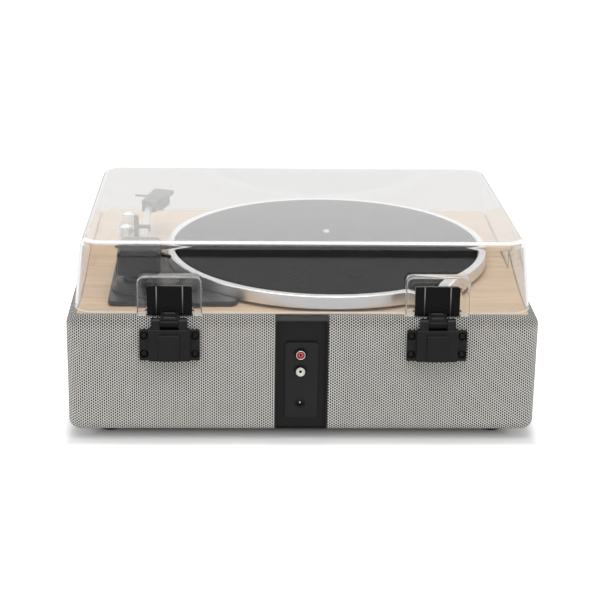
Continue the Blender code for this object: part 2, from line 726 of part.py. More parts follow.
def make_speakers(steel, paper):
    """A basket with its magnet, and a cone that sits on the basket's inner ledge, for each side."""
    seat = FRONT + FABRIC + FIT * 2 + BOARD
    throat = SPEAKER_FLANGE_THICKNESS + BASKET_DEPTH
    neck = CONE_THROAT + BASKET_WALL
    basket = [(0, throat), (neck, throat), (neck, BASKET_DEPTH), (SPEAKER_OPENING - CONE_LEDGE, CONE_LEDGE * 2),
              (SPEAKER_OPENING - CONE_LEDGE, CONE_LEDGE), (SPEAKER_OPENING, CONE_LEDGE), (SPEAKER_OPENING, 0),
              (SPEAKER_FLANGE, 0), (SPEAKER_FLANGE, SPEAKER_FLANGE_THICKNESS),
              (SPEAKER_OPENING + BASKET_WALL, SPEAKER_FLANGE_THICKNESS), (MAGNET_RADIUS, BASKET_DEPTH),
              (MAGNET_RADIUS, throat + MAGNET_LENGTH), (0, throat + MAGNET_LENGTH)]
    rim = SPEAKER_OPENING - FIT
    drop = CONE_LEDGE - FIT
    lip = SPEAKER_OPENING - CONE_LEDGE - FIT * 2
    cone = [(0, CONE_DEPTH - DOME_RISE), (CONE_THROAT / 2, CONE_DEPTH - DOME_RISE * 0.8), (CONE_THROAT, CONE_DEPTH),
            (lip, drop - CONE_THICKNESS), (rim, drop - CONE_THICKNESS), (rim, drop), (lip, drop),
            (CONE_THROAT, CONE_DEPTH + CONE_THICKNESS), (0, CONE_DEPTH + CONE_THICKNESS)]
    for side, x in (("left", -SPEAKER_X), ("right", SPEAKER_X)):
        centre = (x, seat, SPEAKER_Z)
        made = piece("speaker_basket_" + side, turned(basket, centre, "Y"), steel)
        smooth(made.data)
        made = piece("speaker_cone_" + side, turned(cone, centre, "Y"), paper)
        smooth(made.data)


def make_electronics(laminate):
    """The amplifier on its standoffs, and the control board that hangs from the knobs' bushings."""
    half_x, half_y = AMP_SIZE[0] / 2, AMP_SIZE[1] / 2
    centre = (0, MID_Y + AMP_Y)
    floor = FOOT_HEIGHT + BASE_THICKNESS + FIT
    sheet = floor + STANDOFF_HEIGHT
    top = sheet + BOARD_SHEET
    amplifier = tool(box_bm(*about(centre, half_x, half_y, sheet, top)))
    for x in (-1, 1):
        for y in (-1, 1):
            spot = (x * (half_x - STANDOFF_INSET), centre[1] + y * (half_y - STANDOFF_INSET), floor)
            join(amplifier, tool(rod(spot, STANDOFF_RADIUS, 0, STANDOFF_HEIGHT + BOARD_SHEET / 2)))
    wide, deep, tall = SINK_SIZE
    join(amplifier, tool(box_bm(*about(centre, wide / 2, deep / 2, sheet + BOARD_SHEET / 2, top + tall))))
    for k in (-1, 0, 1):
        spot = (k * CAPACITOR_PITCH, centre[1] - half_y / 2, sheet + BOARD_SHEET / 2)
        join(amplifier, tool(rod(spot, CAPACITOR_RADIUS, 0, CAPACITOR_HEIGHT)))
    amplifier.name = "amplifier_board"
    finished(amplifier, laminate)

    places = sorted(KNOB_PLACES.values())
    pot_top = DECK_LOW - FIT
    sheet = pot_top - POT_HEIGHT
    low = (KNOB_X - CONTROL_WIDTH / 2, MID_Y + places[0] - CONTROL_MARGIN, sheet - BOARD_SHEET)
    high = (KNOB_X + CONTROL_WIDTH / 2, MID_Y + places[-1] + CONTROL_MARGIN, sheet)
    control = tool(box_bm(low, high))
    for y in places:
        spot = (KNOB_X, MID_Y + y, pot_top)
        join(control, tool(rod(spot, POT_RADIUS, -POT_HEIGHT - BOARD_SHEET / 2, 0, sides=ROUND_SIDES)))
        join(control, tool(rod(spot, BUSH_RADIUS, -POT_HEIGHT / 2, TOP + BUSH_PROUD - pot_top)))
        cut(control, tool(rod(spot, BUSH_BORE, -POT_HEIGHT / 2, TOP + BUSH_PROUD + OVERRUN - pot_top)))
    control.name = "control_board"
    finished(control, laminate)


def make_knobs(chrome):
    """Fluted knobs with a plain skirt, hollow below to clear the bushing, on their shafts."""
    hollow = BUSH_RADIUS + FIT * 2
    under = BUSH_PROUD + FIT * 2
    tip = TOP + BUSH_PROUD - KNOB_SHAFT_LENGTH
    for name, y in KNOB_PLACES.items():
        centre = Vector((KNOB_X, MID_Y + y, TOP + FIT))
        plain = KNOB_RADIUS - KNOB_FLUTE * 2
        profile = [(0, tip - centre.z), (KNOB_SHAFT, tip - centre.z), (KNOB_SHAFT, under), (hollow, under),
                   (hollow, 0), (plain, 0), (plain, KNOB_SKIRT), (KNOB_RADIUS, KNOB_SKIRT),
                   (KNOB_RADIUS, KNOB_HEIGHT - KNOB_CHAMFER), (KNOB_RADIUS - KNOB_CHAMFER, KNOB_HEIGHT),
                   (KNOB_DISH_RADIUS, KNOB_HEIGHT), (KNOB_DISH_RADIUS - KNOB_DISH, KNOB_HEIGHT - KNOB_DISH),
                   (0, KNOB_HEIGHT - KNOB_DISH)]
        made = piece(name, turned(profile, centre, "Z", KNOB_SIDES, KNOB_FLUTE), chrome, centre)
        smooth(made.data)


def motor_place():
    reach = Vector((math.cos(MOTOR_ANGLE), math.sin(MOTOR_ANGLE))) * MOTOR_REACH
    return PLATTER_CENTRE.xy + reach


def make_drive(steel, brass, rubber):
    """The motor under the deck, its pulley under the platter and the flat belt round both."""
    x, y = motor_place()
    deck = DECK_LOW - FIT
    collar_top = TOP - FIT * 2
    profile = [(0, deck - MOTOR_HEIGHT), (MOTOR_RADIUS, deck - MOTOR_HEIGHT), (MOTOR_RADIUS, deck),
               (MOTOR_COLLAR_RADIUS, deck), (MOTOR_COLLAR_RADIUS, collar_top), (PULLEY_SHAFT + FIT, collar_top),
               (PULLEY_SHAFT + FIT, deck - MOTOR_HEIGHT / 2), (0, deck - MOTOR_HEIGHT / 2)]
    made = piece("motor_body", turned(profile, (x, y, 0)), steel)
    smooth(made.data)

    belt_low = belt_level()
    belt_high = belt_low + BELT_HEIGHT
    lip = PULLEY_RADIUS + PULLEY_LIP
    bottom = belt_low - FIT - PULLEY_LIP_THICKNESS
    shaft_end = deck - MOTOR_HEIGHT / 2 + FIT
    profile = [(0, shaft_end), (PULLEY_SHAFT, shaft_end), (PULLEY_SHAFT, bottom), (lip, bottom),
               (lip, belt_low - FIT), (PULLEY_RADIUS, belt_low - FIT), (PULLEY_RADIUS, belt_high + FIT),
               (lip, belt_high + FIT), (lip, belt_high + FIT + PULLEY_LIP_THICKNESS),
               (0, belt_high + FIT + PULLEY_LIP_THICKNESS)]
    made = piece("motor_pulley", turned([(r, z - bottom) for r, z in profile], (x, y, bottom)), brass, (x, y, bottom))
    smooth(made.data)

    outer = belt_path(BELT_RING_RADIUS + FIT + BELT_THICKNESS, PULLEY_RADIUS + FIT + BELT_THICKNESS)
    inner = belt_path(BELT_RING_RADIUS + FIT, PULLEY_RADIUS + FIT)
    belt = tool(slab(outer, belt_low, belt_high))
    cut(belt, tool(slab(inner, belt_low - OVERRUN, belt_high + OVERRUN)))
    belt.name = "drive_belt"
    finished(belt, rubber)


def belt_level():
    ring_low = WEB_LOW - BELT_RING_DROP
    return (ring_low + WEB_LOW - BELT_HEIGHT) / 2


def belt_path(ring, pulley):
    """Both outer tangents between two circles, with the arcs that close them."""
    small = motor_place()
    reach = (small - PLATTER_CENTRE.xy).length
    lean = math.acos((ring - pulley) / reach)
    big_arc = arc(PLATTER_CENTRE.xy, ring, MOTOR_ANGLE + lean, MOTOR_ANGLE + math.tau - lean, DISC_SIDES)
    small_arc = arc(small, pulley, MOTOR_ANGLE - lean, MOTOR_ANGLE + lean, SMALL_SIDES // 2)
    return big_arc + small_arc


def make_platter(aluminium, felt, steel, brass):
    x, y, low = PLATTER_CENTRE
    bore = SHAFT_RADIUS + FIT
    ring_low = WEB_LOW - BELT_RING_DROP
    rounding = arc((PLATTER_RADIUS - PLATTER_ROUND, RIM_TOP - PLATTER_ROUND), PLATTER_ROUND, math.pi / 2, 0, 3)
    ring_in = BELT_RING_RADIUS - BELT_RING_WALL
    rim_in = PLATTER_RADIUS - PLATTER_RIM_WALL
    profile = [(bore, RIM_TOP)] + rounding + [
        (PLATTER_RADIUS, low), (rim_in, low), (rim_in, WEB_LOW), (BELT_RING_RADIUS, WEB_LOW),
        (BELT_RING_RADIUS, ring_low), (ring_in, ring_low), (ring_in, WEB_LOW), (HUB_RADIUS, WEB_LOW),
        (HUB_RADIUS, ring_low), (bore, ring_low)]
    made = piece("platter", turned([(r, z - low) for r, z in profile], (x, y, low), "Z", DISC_SIDES),
                 aluminium, (x, y, low))
    smooth(made.data)

    hole = SPINDLE_RADIUS + FIT
    mat = [(hole, RIM_TOP + FIT), (MAT_RADIUS, RIM_TOP + FIT), (MAT_RADIUS, MAT_TOP - MAT_EDGE),
           (MAT_RADIUS - MAT_EDGE, MAT_TOP), (hole, MAT_TOP)]
    made = piece("slip_mat", turned([(r, z - low) for r, z in mat], (x, y, low), "Z", DISC_SIDES), felt, (x, y, low))
    smooth(made.data)

    tip = MAT_TOP + SPINDLE_PROUD
    shaft_low = TOP - SHAFT_LENGTH
    collar = RIM_TOP + FIT
    spindle = [(0, shaft_low), (SHAFT_RADIUS, shaft_low), (SHAFT_RADIUS, collar), (SPINDLE_RADIUS, collar),
               (SPINDLE_RADIUS, tip - SPINDLE_TIP * 2), (SPINDLE_RADIUS - SPINDLE_TIP, tip - SPINDLE_TIP / 2),
               (SPINDLE_TIP, tip), (0, tip)]
    made = piece("spindle", turned([(r, z - low) for r, z in spindle], (x, y, low), "Z", ROUND_SIDES),
                 steel, (x, y, low))
    smooth(made.data)

    floor = shaft_low - FIT
    flange_top = min(TOP + FIT + WELL_FLANGE_THICKNESS, ring_low - FIT)
    well = [(0, floor - WELL_WALL_BELOW), (WELL_RADIUS, floor - WELL_WALL_BELOW), (WELL_RADIUS, TOP + FIT),
            (WELL_FLANGE, TOP + FIT), (WELL_FLANGE, flange_top), (bore, flange_top), (bore, floor), (0, floor)]
    made = piece("bearing_well", turned(well, (x, y, 0)), brass)
    smooth(made.data)


def plate_outline():
    """The arm's base plate in plan, with its inner side following the platter."""
    centre = PLATTER_CENTRE.xy
    radius = PLATTER_RADIUS + PLATE_CLEARANCE
    rear, front = MID_Y + PLATE_REAR, MID_Y + PLATE_FRONT
    begin = math.acos((PLATE_LEFT - centre.x) / radius)
    end = math.asin((front - centre.y) / radius)
    blunt = centre.y + radius * math.sin(begin)
    corner = PLATE_CORNER
    right = PLATE_RIGHT
    outline = arc((right - corner, front + corner), corner, -math.pi / 2, 0, CORNER_STEPS)
    outline += arc((right - corner, rear - corner), corner, 0, math.pi / 2, CORNER_STEPS)
    outline += [(PLATE_LEFT + corner, rear), (PLATE_LEFT, (rear + blunt) / 2)]
    outline += arc(centre, radius, begin, end, ARC_STEPS)
    return outline


def make_arm_base(plastic):
    low = TOP + FIT
    base = tool(slab(plate_outline(), low, PLATE_TOP))
    x, y = PIVOT.xy
    step = PEDESTAL_RADIUS + PEDESTAL_FLARE
    rise = PEDESTAL_HEIGHT
    foot = [(0, -PLATE_THICKNESS / 2), (step + PEDESTAL_STEP, -PLATE_THICKNESS / 2),
            (step + PEDESTAL_STEP, PEDESTAL_STEP_HEIGHT), (step, PEDESTAL_STEP_HEIGHT),
            (PEDESTAL_RADIUS, rise - PEDESTAL_EDGE), (PEDESTAL_RADIUS - PEDESTAL_EDGE, rise), (0, rise)]
    join(base, tool(turned(foot, (x, y, PLATE_TOP), "Z", KNOB_SIDES)))
    cut(base, tool(rod((x, y, PLATE_TOP), SWING_SHAFT + FIT, -PLATE_THICKNESS - OVERRUN, rise + OVERRUN,
                       sides=ROUND_SIDES)))

    wide, deep, tall = SWITCH_SIZE
    slot = about((SWITCH_X, MID_Y + SWITCH_Y), (wide + SWITCH_TRAVEL) / 2 + FIT, deep / 2 + FIT,
                 PLATE_TOP - SWITCH_SLOT_DEPTH, PLATE_TOP + OVERRUN)
    cut(base, tool(box_bm(*slot)))

    stem = cue_stem_place()
    cut(base, tool(rod((*stem, PLATE_TOP), CUE_STEM_RADIUS + FIT, -CUE_STEM_SINK, OVERRUN)))
    gap = CUE_LEVER_WIDTH / 2 + FIT
    pin_z = PLATE_TOP + CUE_LEVER_RISE
    for side in (-1, 1):
        near, far = sorted((side * gap, side * (gap + CUE_CHEEK)))
        cheek = box_bm((CUE_LEVER_X + near, MID_Y + CUE_LEVER_Y - CUE_CHEEK_LENGTH / 2, PLATE_TOP - OVERRUN),
                       (CUE_LEVER_X + far, MID_Y + CUE_LEVER_Y + CUE_CHEEK_LENGTH / 2, PLATE_TOP + CUE_CHEEK_HEIGHT))
        join(base, tool(cheek))
    reach = gap + CUE_CHEEK / 2
    join(base, tool(rod((CUE_LEVER_X, MID_Y + CUE_LEVER_Y, pin_z), CUE_PIN_RADIUS, -reach, reach, "X")))

    cut(base, tool(rod((REST_POST_X, MID_Y + REST_Y, PLATE_TOP), REST_FOOT_RADIUS + FIT,
                       -REST_FOOT_HEIGHT, OVERRUN, sides=ROUND_SIDES)))
    base.name = "arm_base"
    finished(base, plastic)


def make_switch(plastic):
    wide, deep, tall = SWITCH_SIZE
    low = PLATE_TOP - SWITCH_SLOT_DEPTH + FIT
    start = (SWITCH_X - SWITCH_TRAVEL / 2, MID_Y + SWITCH_Y)
    bm = block(*about(start, wide / 2, deep / 2, low, low + tall), 0, 2, SWITCH_EDGE, 1, (False, True))
    made = piece("speed_switch", bm, plastic, (*start, low))
    smooth(made.data)


def cue_stem_place():
    return PIVOT.x + CUE_RADIUS * math.cos(CUE_STEM_ANGLE), PIVOT.y + CUE_RADIUS * math.sin(CUE_STEM_ANGLE)


def make_cueing(plastic):
    """The curved bar under the tube on its stem, and the lever that works it."""
    top = ARM_Z - TUBE_RADIUS - CUE_GAP
    low = top - CUE_BAR_THICKNESS
    outer = arc(PIVOT.xy, CUE_RADIUS + CUE_BAR_WIDTH / 2, CUE_BAR_START, CUE_BAR_END, ARC_STEPS // 2)
    inner = arc(PIVOT.xy, CUE_RADIUS - CUE_BAR_WIDTH / 2, CUE_BAR_END, CUE_BAR_START, ARC_STEPS // 2)
    bar = tool(slab(outer + inner, low, top))
    stem = cue_stem_place()
    bottom = PLATE_TOP - CUE_STEM_SINK + FIT
    join(bar, tool(rod((*stem, bottom), CUE_STEM_RADIUS, 0, low - bottom + CUE_BAR_THICKNESS / 2)))
    bar.name = "cue_bar"
    finished(bar, plastic)

    x, y, z = CUE_LEVER_X, MID_Y + CUE_LEVER_Y, PLATE_TOP + CUE_LEVER_RISE
    half = CUE_LEVER_WIDTH / 2
    lever = tool(rod((x, y, z), CUE_EYE_RADIUS, -half, half, "X", ROUND_SIDES))
    rise = CUE_LEVER_HEIGHT / 2
    slim = half - RELIEF
    join(lever, tool(box_bm((x - slim, y - CUE_LEVER_LENGTH - half, z - rise), (x + slim, y, z + rise))))
    rise += RELIEF
    pad = block((x - half * 2, y - CUE_LEVER_LENGTH - CUE_LEVER_PAD, z - rise),
                (x + half * 2, y - CUE_LEVER_LENGTH, z + rise), half, 2)
    join(lever, tool(pad))
    cut(lever, tool(rod((x, y, z), CUE_PIN_RADIUS + FIT, -half - OVERRUN, half + OVERRUN, "X")))
    lever.name = "cue_lever"
    finished(lever, plastic)
    set_origin(lever, (x, y, z))


def set_origin(made, place):
    """Moves an object's origin to its joint without moving its shape."""
    shift = Vector(place) - made.location
    made.data.transform(Matrix.Translation(-shift))
    made.location = place


def make_yoke(plastic):
    """Turns on its shaft in the pedestal and carries the housing on two trunnions."""
    x, y, z = PIVOT
    low = PEDESTAL_TOP + FIT
    bottom = TOP + FIT * 2
    profile = [(0, bottom - low), (SWING_SHAFT, bottom - low), (SWING_SHAFT, 0), (YOKE_DISC_RADIUS, 0),
               (YOKE_DISC_RADIUS, YOKE_DISC_HEIGHT), (0, YOKE_DISC_HEIGHT)]
    yoke = tool(turned(profile, (x, y, low)))
    wide, deep = YOKE_NECK
    join(yoke, tool(box_bm(*about((x, y), wide / 2, deep / 2, low + YOKE_DISC_HEIGHT / 2, z + YOKE_NECK_RISE))))
    join(yoke, tool(rod((x, y, z), TRUNNION_RADIUS, -TRUNNION_REACH, TRUNNION_REACH, "X")))
    yoke.name = "arm_yoke"
    finished(yoke, plastic)
    set_origin(yoke, (x, y, low))


def housing_box(inset, low_extra=0.0):
    wide, deep, tall = HOUSING_SIZE
    low = ARM_Z - HOUSING_DROP
    return about((PIVOT.x, MID_Y + HOUSING_CENTRE_Y), wide / 2 - inset, deep / 2 - inset,
                 low - low_extra, low + tall - inset)


def make_housing(plastic, zinc):
    low, high = housing_box(0)
    shell = tool(block(low, high, HOUSING_CORNER, 2, HOUSING_CHAMFER, 1, (False, True)))
    inner_low, inner_high = housing_box(HOUSING_WALL, OVERRUN)
    chamfer = HOUSING_CHAMFER - HOUSING_WALL / 2
    inside = block(inner_low, inner_high, HOUSING_CORNER - HOUSING_WALL, 2, chamfer, 1, (False, True))
    cut(shell, tool(inside))
    half = HOUSING_SIZE[0] / 2 + OVERRUN
    cut(shell, tool(rod(PIVOT, TRUNNION_RADIUS + FIT, -half, half, "X", ROUND_SIDES)))
    front = HOUSING_SIZE[1] / 2 + OVERRUN
    cut(shell, tool(rod((PIVOT.x, PIVOT.y, ARM_Z), TUBE_RADIUS + FIT, -front, 0, "Y", ROUND_SIDES)))
    shell.name = "arm_housing"
    finished(shell, plastic)
    set_origin(shell, PIVOT)

    side = HOUSING_WALL + FIT
    rear = inner_high[1] - FIT
    inner_half = HOUSING_SIZE[0] / 2 - side
    mid = ARM_Z + HOUSING_SIZE[2] / 2 - HOUSING_DROP
    bm = block((PIVOT.x - inner_half, rear - WEIGHT_DEPTH, mid - WEIGHT_HEIGHT / 2),
               (PIVOT.x + inner_half, rear, mid + WEIGHT_HEIGHT / 2), HOUSING_CORNER - HOUSING_WALL, 2)
    made = piece("counterweight", bm, zinc, PIVOT)
    smooth(made.data)


def make_arm(aluminium, plastic, cartridge_plastic):
    x, y, z = PIVOT
    front, rear = TUBE_FRONT_Y - PIVOT_Y, TUBE_REAR_Y - PIVOT_Y
    inner = TUBE_RADIUS - TUBE_WALL
    profile = [(inner, front), (TUBE_RADIUS, front), (TUBE_RADIUS, rear), (inner, rear)]
    made = piece("arm_tube", turned(profile, (x, y, z), "Y", ROUND_SIDES), aluminium, PIVOT)
    smooth(made.data)

    neck = Vector((x, MID_Y + TUBE_FRONT_Y, z))
    lean = Matrix.Translation(neck) @ Matrix.Rotation(-HEAD_OFFSET, 4, "Z")
    top = HEAD_TOP_ABOVE_TUBE
    low = top - HEAD_HEIGHT
    half, narrow = HEAD_WIDTH / 2, HEAD_NECK_WIDTH / 2
    outline = [(narrow, 0), (half, -HEAD_TAPER_START), (half, -HEAD_LENGTH + HEAD_FRONT_TAPER),
               (narrow, -HEAD_LENGTH), (-narrow, -HEAD_LENGTH), (-half, -HEAD_LENGTH + HEAD_FRONT_TAPER),
               (-half, -HEAD_TAPER_START), (-narrow, 0)]
    bm = slab(outline, low, top)
    bmesh.ops.recalc_face_normals(bm, faces=bm.faces)
    bevel(bm, [e for e in bm.edges if lies_at(e, 2, top)], HEAD_EDGE, 2)
    bmesh.ops.transform(bm, matrix=lean, verts=bm.verts)
    head = tool(bm)
    underside = head_block(lean, half - HEAD_WALL, -HEAD_TAPER_START, -HEAD_LENGTH + HEAD_FRONT_TAPER,
                           low - OVERRUN, top - HEAD_WALL)
    cut(head, tool(underside))
    neck_block = head_block(lean, narrow - RELIEF, -RELIEF, RELIEF - HEAD_TAPER_START, -HEAD_BLOCK_DROP,
                            top - HEAD_HEIGHT / 2)
    join(head, tool(neck_block))
    collar = rod(neck, COLLAR_RADIUS, -HEAD_TAPER_START / 2, COLLAR_LENGTH - COLLAR_OVERLAP, "Y", ROUND_SIDES)
    join(head, tool(collar))
    finger_y = -HEAD_LENGTH * LIFT_PLACE_SHARE
    finger = box_bm((half - HEAD_WALL / 2, finger_y - LIFT_WIDTH / 2, top - HEAD_EDGE - LIFT_THICKNESS),
                    (half + LIFT_LENGTH, finger_y + LIFT_WIDTH / 2, top - HEAD_EDGE))
    bmesh.ops.transform(finger, matrix=lean, verts=finger.verts)
    join(head, tool(finger))
    bore_end = COLLAR_LENGTH
    cut(head, tool(rod(neck, TUBE_RADIUS + FIT, -FIT, bore_end, "Y", ROUND_SIDES)))
    head.name = "headshell"
    finished(head, plastic)
    set_origin(head, PIVOT)

    width = CARTRIDGE_WIDTH / 2
    body = tool(head_block(lean, width, -CARTRIDGE_REAR, -CARTRIDGE_FRONT + HEAD_FRONT_TAPER,
                           low - CARTRIDGE_DROP, top - HEAD_WALL - FIT))
    stylus_low = MAT_TOP + RECORD_THICKNESS + FIT - ARM_Z
    guard_low = low - CARTRIDGE_DROP - STYLUS_DROP
    join(body, tool(head_block(lean, STYLUS_WIDTH / 2, -STYLUS_REAR, -CARTRIDGE_FRONT,
                               guard_low, low - CARTRIDGE_DROP / 2)))
    tip = STYLUS_TIP_SIDE
    join(body, tool(head_block(lean, tip / 2, -CARTRIDGE_FRONT + tip, -CARTRIDGE_FRONT + tip * 2,
                               min(stylus_low, guard_low - tip), guard_low + tip / 2)))
    body.name = "cartridge"
    finished(body, cartridge_plastic)
    set_origin(body, PIVOT)


def head_block(lean, half, near, far, low, high):
    """A box laid out along the head's own slanted axis."""
    bm = box_bm((-half, far, low), (half, near, high))
    bmesh.ops.transform(bm, matrix=lean, verts=bm.verts)
    return bm


def make_rest(plastic):
    """The arm rest's post with a floor under the tube, and the clip that swings over it."""
    x, y = REST_POST_X, MID_Y + REST_Y
    wide, deep = REST_POST
    foot = PLATE_TOP - REST_FOOT_HEIGHT + FIT
    post = tool(rod((x, y, foot), REST_FOOT_RADIUS, 0, REST_FOOT_HEIGHT + REST_FLOOR_THICKNESS, sides=ROUND_SIDES))
    join(post, tool(box_bm(*about((x, y), wide / 2, deep / 2, foot + REST_FOOT_HEIGHT, TOP + REST_RISE))))
    floor_top = ARM_Z - TUBE_RADIUS - FIT
    slim = deep / 2 - RELIEF
    shelf = box_bm((x - REST_FLOOR_LENGTH, y - slim, floor_top - REST_FLOOR_THICKNESS), (x, y + slim, floor_top))
    join(post, tool(shelf))
    pin = clip_pin()
    join(post, tool(rod(pin, CLIP_PIN_RADIUS, -deep / 2 - FIT - CLIP_THICKNESS, 0, "Y")))
    post.name = "arm_rest"
    finished(post, plastic)

    near = y - deep / 2 - FIT
    clip = tool(rod((pin[0], near, pin[2]), CLIP_EYE_RADIUS, -CLIP_THICKNESS, 0, "Y", ROUND_SIDES))
    half = CLIP_BAR / 2
    end = pin[0] - CLIP_LENGTH
    low, high = pin[2] - half, pin[2] + half
    bar = [(pin[0], low), (end + half, low), (end + half, low - CLIP_HOOK), (end, low - CLIP_HOOK), (end, high),
           (pin[0], high)]
    join(clip, tool(front_slab(bar, near - CLIP_THICKNESS + RELIEF, near - RELIEF)))
    cut(clip, tool(rod(pin, CLIP_PIN_RADIUS + FIT, -deep - CLIP_THICKNESS, 0, "Y")))
    clip.name = "arm_clip"
    finished(clip, plastic)
    set_origin(clip, (pin[0], near, pin[2]))


def clip_pin():
    return (REST_POST_X, MID_Y + REST_Y, ARM_Z + TUBE_RADIUS + CLIP_GAP + CLIP_BAR / 2)


def lid_form(inset, low):
    """The lid's outside, drawn in by an inset: drafted walls, a top that falls to the front, rounded corners."""
    half = LID_WIDTH / 2 - inset
    front = FRONT + LID_FRONT_INSET + inset
    rear = REAR - LID_REAR_INSET - inset
    bm = box_bm((-half, front, low), (half, rear, LID_REAR_TOP - inset))
    middle = (low + LID_REAR_TOP) / 2
    for vert in bm.verts:
        rise = (vert.co.z - low) / (LID_REAR_TOP - TOP)
        if vert.co.z > middle:
            vert.co.z -= LID_FRONT_DROP * (rear - vert.co.y) / (rear - front)
            vert.co.x -= math.copysign(LID_SIDE_DRAFT * rise, vert.co.x)
            vert.co.y -= math.copysign(LID_END_DRAFT * rise, vert.co.y - MID_Y)
    upright = [e for e in bm.edges if abs(e.verts[0].co.z - e.verts[1].co.z) > LID_WALL * 2 + LID_FRONT_DROP]
    bevel(bm, upright, LID_PLAN_RADIUS - inset, CORNER_STEPS)
    roof = max(bm.faces, key=lambda face: face.calc_center_median().z)
    bevel(bm, list(roof.edges), LID_EDGE_RADIUS - inset, 3)
    return bm


def make_lid(clear, rubber):
    low = TOP + LID_GAP
    lid = tool(lid_form(0, low))
    outer = REAR - POCKET_OUTSET
    inner_wall = REAR - LID_REAR_INSET - LID_WALL / 2
    half = POCKET_WIDTH / 2
    below = low - POCKET_RADIUS * 2
    for side in (-1, 1):
        x = side * HINGE_X
        pocket = tool(block((x - half, inner_wall - LID_END_DRAFT, below), (x + half, outer, low + POCKET_HEIGHT),
                            POCKET_RADIUS, 1, POCKET_WALL / 2, 2, (False, True)))
        cut(pocket, tool(box_bm((x - WIDTH, FRONT, 0), (x + WIDTH, REAR + OVERRUN, low))))
        join(lid, pocket)
    cut(lid, tool(lid_form(LID_WALL, low - OVERRUN)))
    slot = LEAF_WIDTH / 2 + FIT
    back = leaf_front() - FIT
    for side in (-1, 1):
        x = side * HINGE_X
        cut(lid, tool(box_bm((x - slot, back, low - OVERRUN),
                             (x + slot, leaf_front() + LEAF_THICKNESS + LEAF_RIB + FIT, LEAF_HIGH + FIT))))
        wide = POCKET_NOTCH_WIDTH / 2
        notch = block((x - wide, back, below), (x + wide, REAR, low + POCKET_NOTCH_HEIGHT), POCKET_RADIUS, 1)
        cut(lid, tool(notch))
    lid.name = "lid"
    finished(lid, clear)
    set_origin(lid, (0, PIN_Y, PIN_Z))

    for name, side in (("lid_bumper_left", -1), ("lid_bumper_right", 1)):
        x = side * (LID_WIDTH / 2 - LID_WALL / 2)
        wide = BUMPER_WIDTH / 2
        y = MID_Y + BUMPER_Y
        made = piece(name, box_bm((x - wide, y - BUMPER_LENGTH / 2, TOP + FIT),
                                  (x + wide, y + BUMPER_LENGTH / 2, low - FIT)), rubber, (0, PIN_Y, PIN_Z))


def leaf_front():
    return REAR - POCKET_OUTSET - POCKET_WALL - FIT - LEAF_RIB - LEAF_THICKNESS


def make_hinges(plastic, screw_steel):
    for name, side in (("left", -1), ("right", 1)):
        x = side * HINGE_X
        make_hinge_base("hinge_base_" + name, x, plastic)
        make_hinge_leaf("hinge_leaf_" + name, x, plastic)
    profile = [(0, -SCREW_REACH), (SCREW_SHANK, -SCREW_REACH), (SCREW_SHANK, head_seat()),
               (SCREW_HEAD_RADIUS, head_seat()), (SCREW_HEAD_RADIUS * 0.8, head_seat() + SCREW_HEAD_HEIGHT),
               (0, head_seat() + SCREW_HEAD_HEIGHT)]
    for k, (x, z) in enumerate(screw_places(), 1):
        made = piece("hinge_screw_" + str(k), turned(profile, (x, REAR, z), "Y", SMALL_SIDES), screw_steel)
        smooth(made.data)


def head_seat():
    return FIT * 2 + PLATE_SHEET - SCREW_SINK_DEPTH


def make_hinge_base(name, x, plastic):
    """The plate, the raised housing with its rib, and two cheeks that carry the pin."""
    seat = REAR + FIT
    half = PLATE_WIDTH_HINGE / 2
    base = tool(block((x - half, seat, PLATE_LOW), (x + half, seat + PLATE_SHEET, PLATE_HIGH),
                      PLATE_EDGE, 1, PLATE_EDGE / 2, 1, (False, True)))
    for px, pz in screw_places():
        if abs(px - x) < half:
            centre = (px, seat + PLATE_SHEET, pz)
            cut(base, tool(rod(centre, SCREW_HEAD_RADIUS + FIT * 2, -SCREW_SINK_DEPTH, OVERRUN, "Y")))
            cut(base, tool(rod(centre, SCREW_SHANK + FIT, -PLATE_SHEET - OVERRUN, OVERRUN, "Y")))
    half = HOUSE_WIDTH / 2
    low = PLATE_LOW + PLATE_EDGE
    join(base, tool(block((x - half, seat + PLATE_EDGE, low), (x + half, REAR + HOUSE_PROUD, HOUSE_HIGH),
                          0, 1, PLATE_EDGE, 1, (False, True))))
    half = RIB_WIDTH / 2
    join(base, tool(block((x - half, seat + PLATE_EDGE * 2, low + PLATE_EDGE / 2), (x + half, REAR + RIB_PROUD, RIB_HIGH),
                          0, 1, RIB_EDGE, 2, (False, True))))
    half = CHEEK_OUTER / 2
    join(base, tool(block((x - half, seat, HOUSE_HIGH - PLATE_EDGE * 3),
                          (x + half, REAR + HOUSE_PROUD - PLATE_EDGE / 2, CHEEK_TOP), PLATE_EDGE * 2, 0)))
    half = SLOT_WIDTH / 2
    cut(base, tool(box_bm((x - half, REAR - OVERRUN, SLOT_FLOOR), (x + half, REAR + RIB_PROUD + OVERRUN, TOP))))
    pin = CHEEK_OUTER / 2 - PLATE_EDGE
    join(base, tool(rod((x, PIN_Y, PIN_Z), PIN_RADIUS, -pin, pin, "X")))
    base.name = name
    finished(base, plastic)


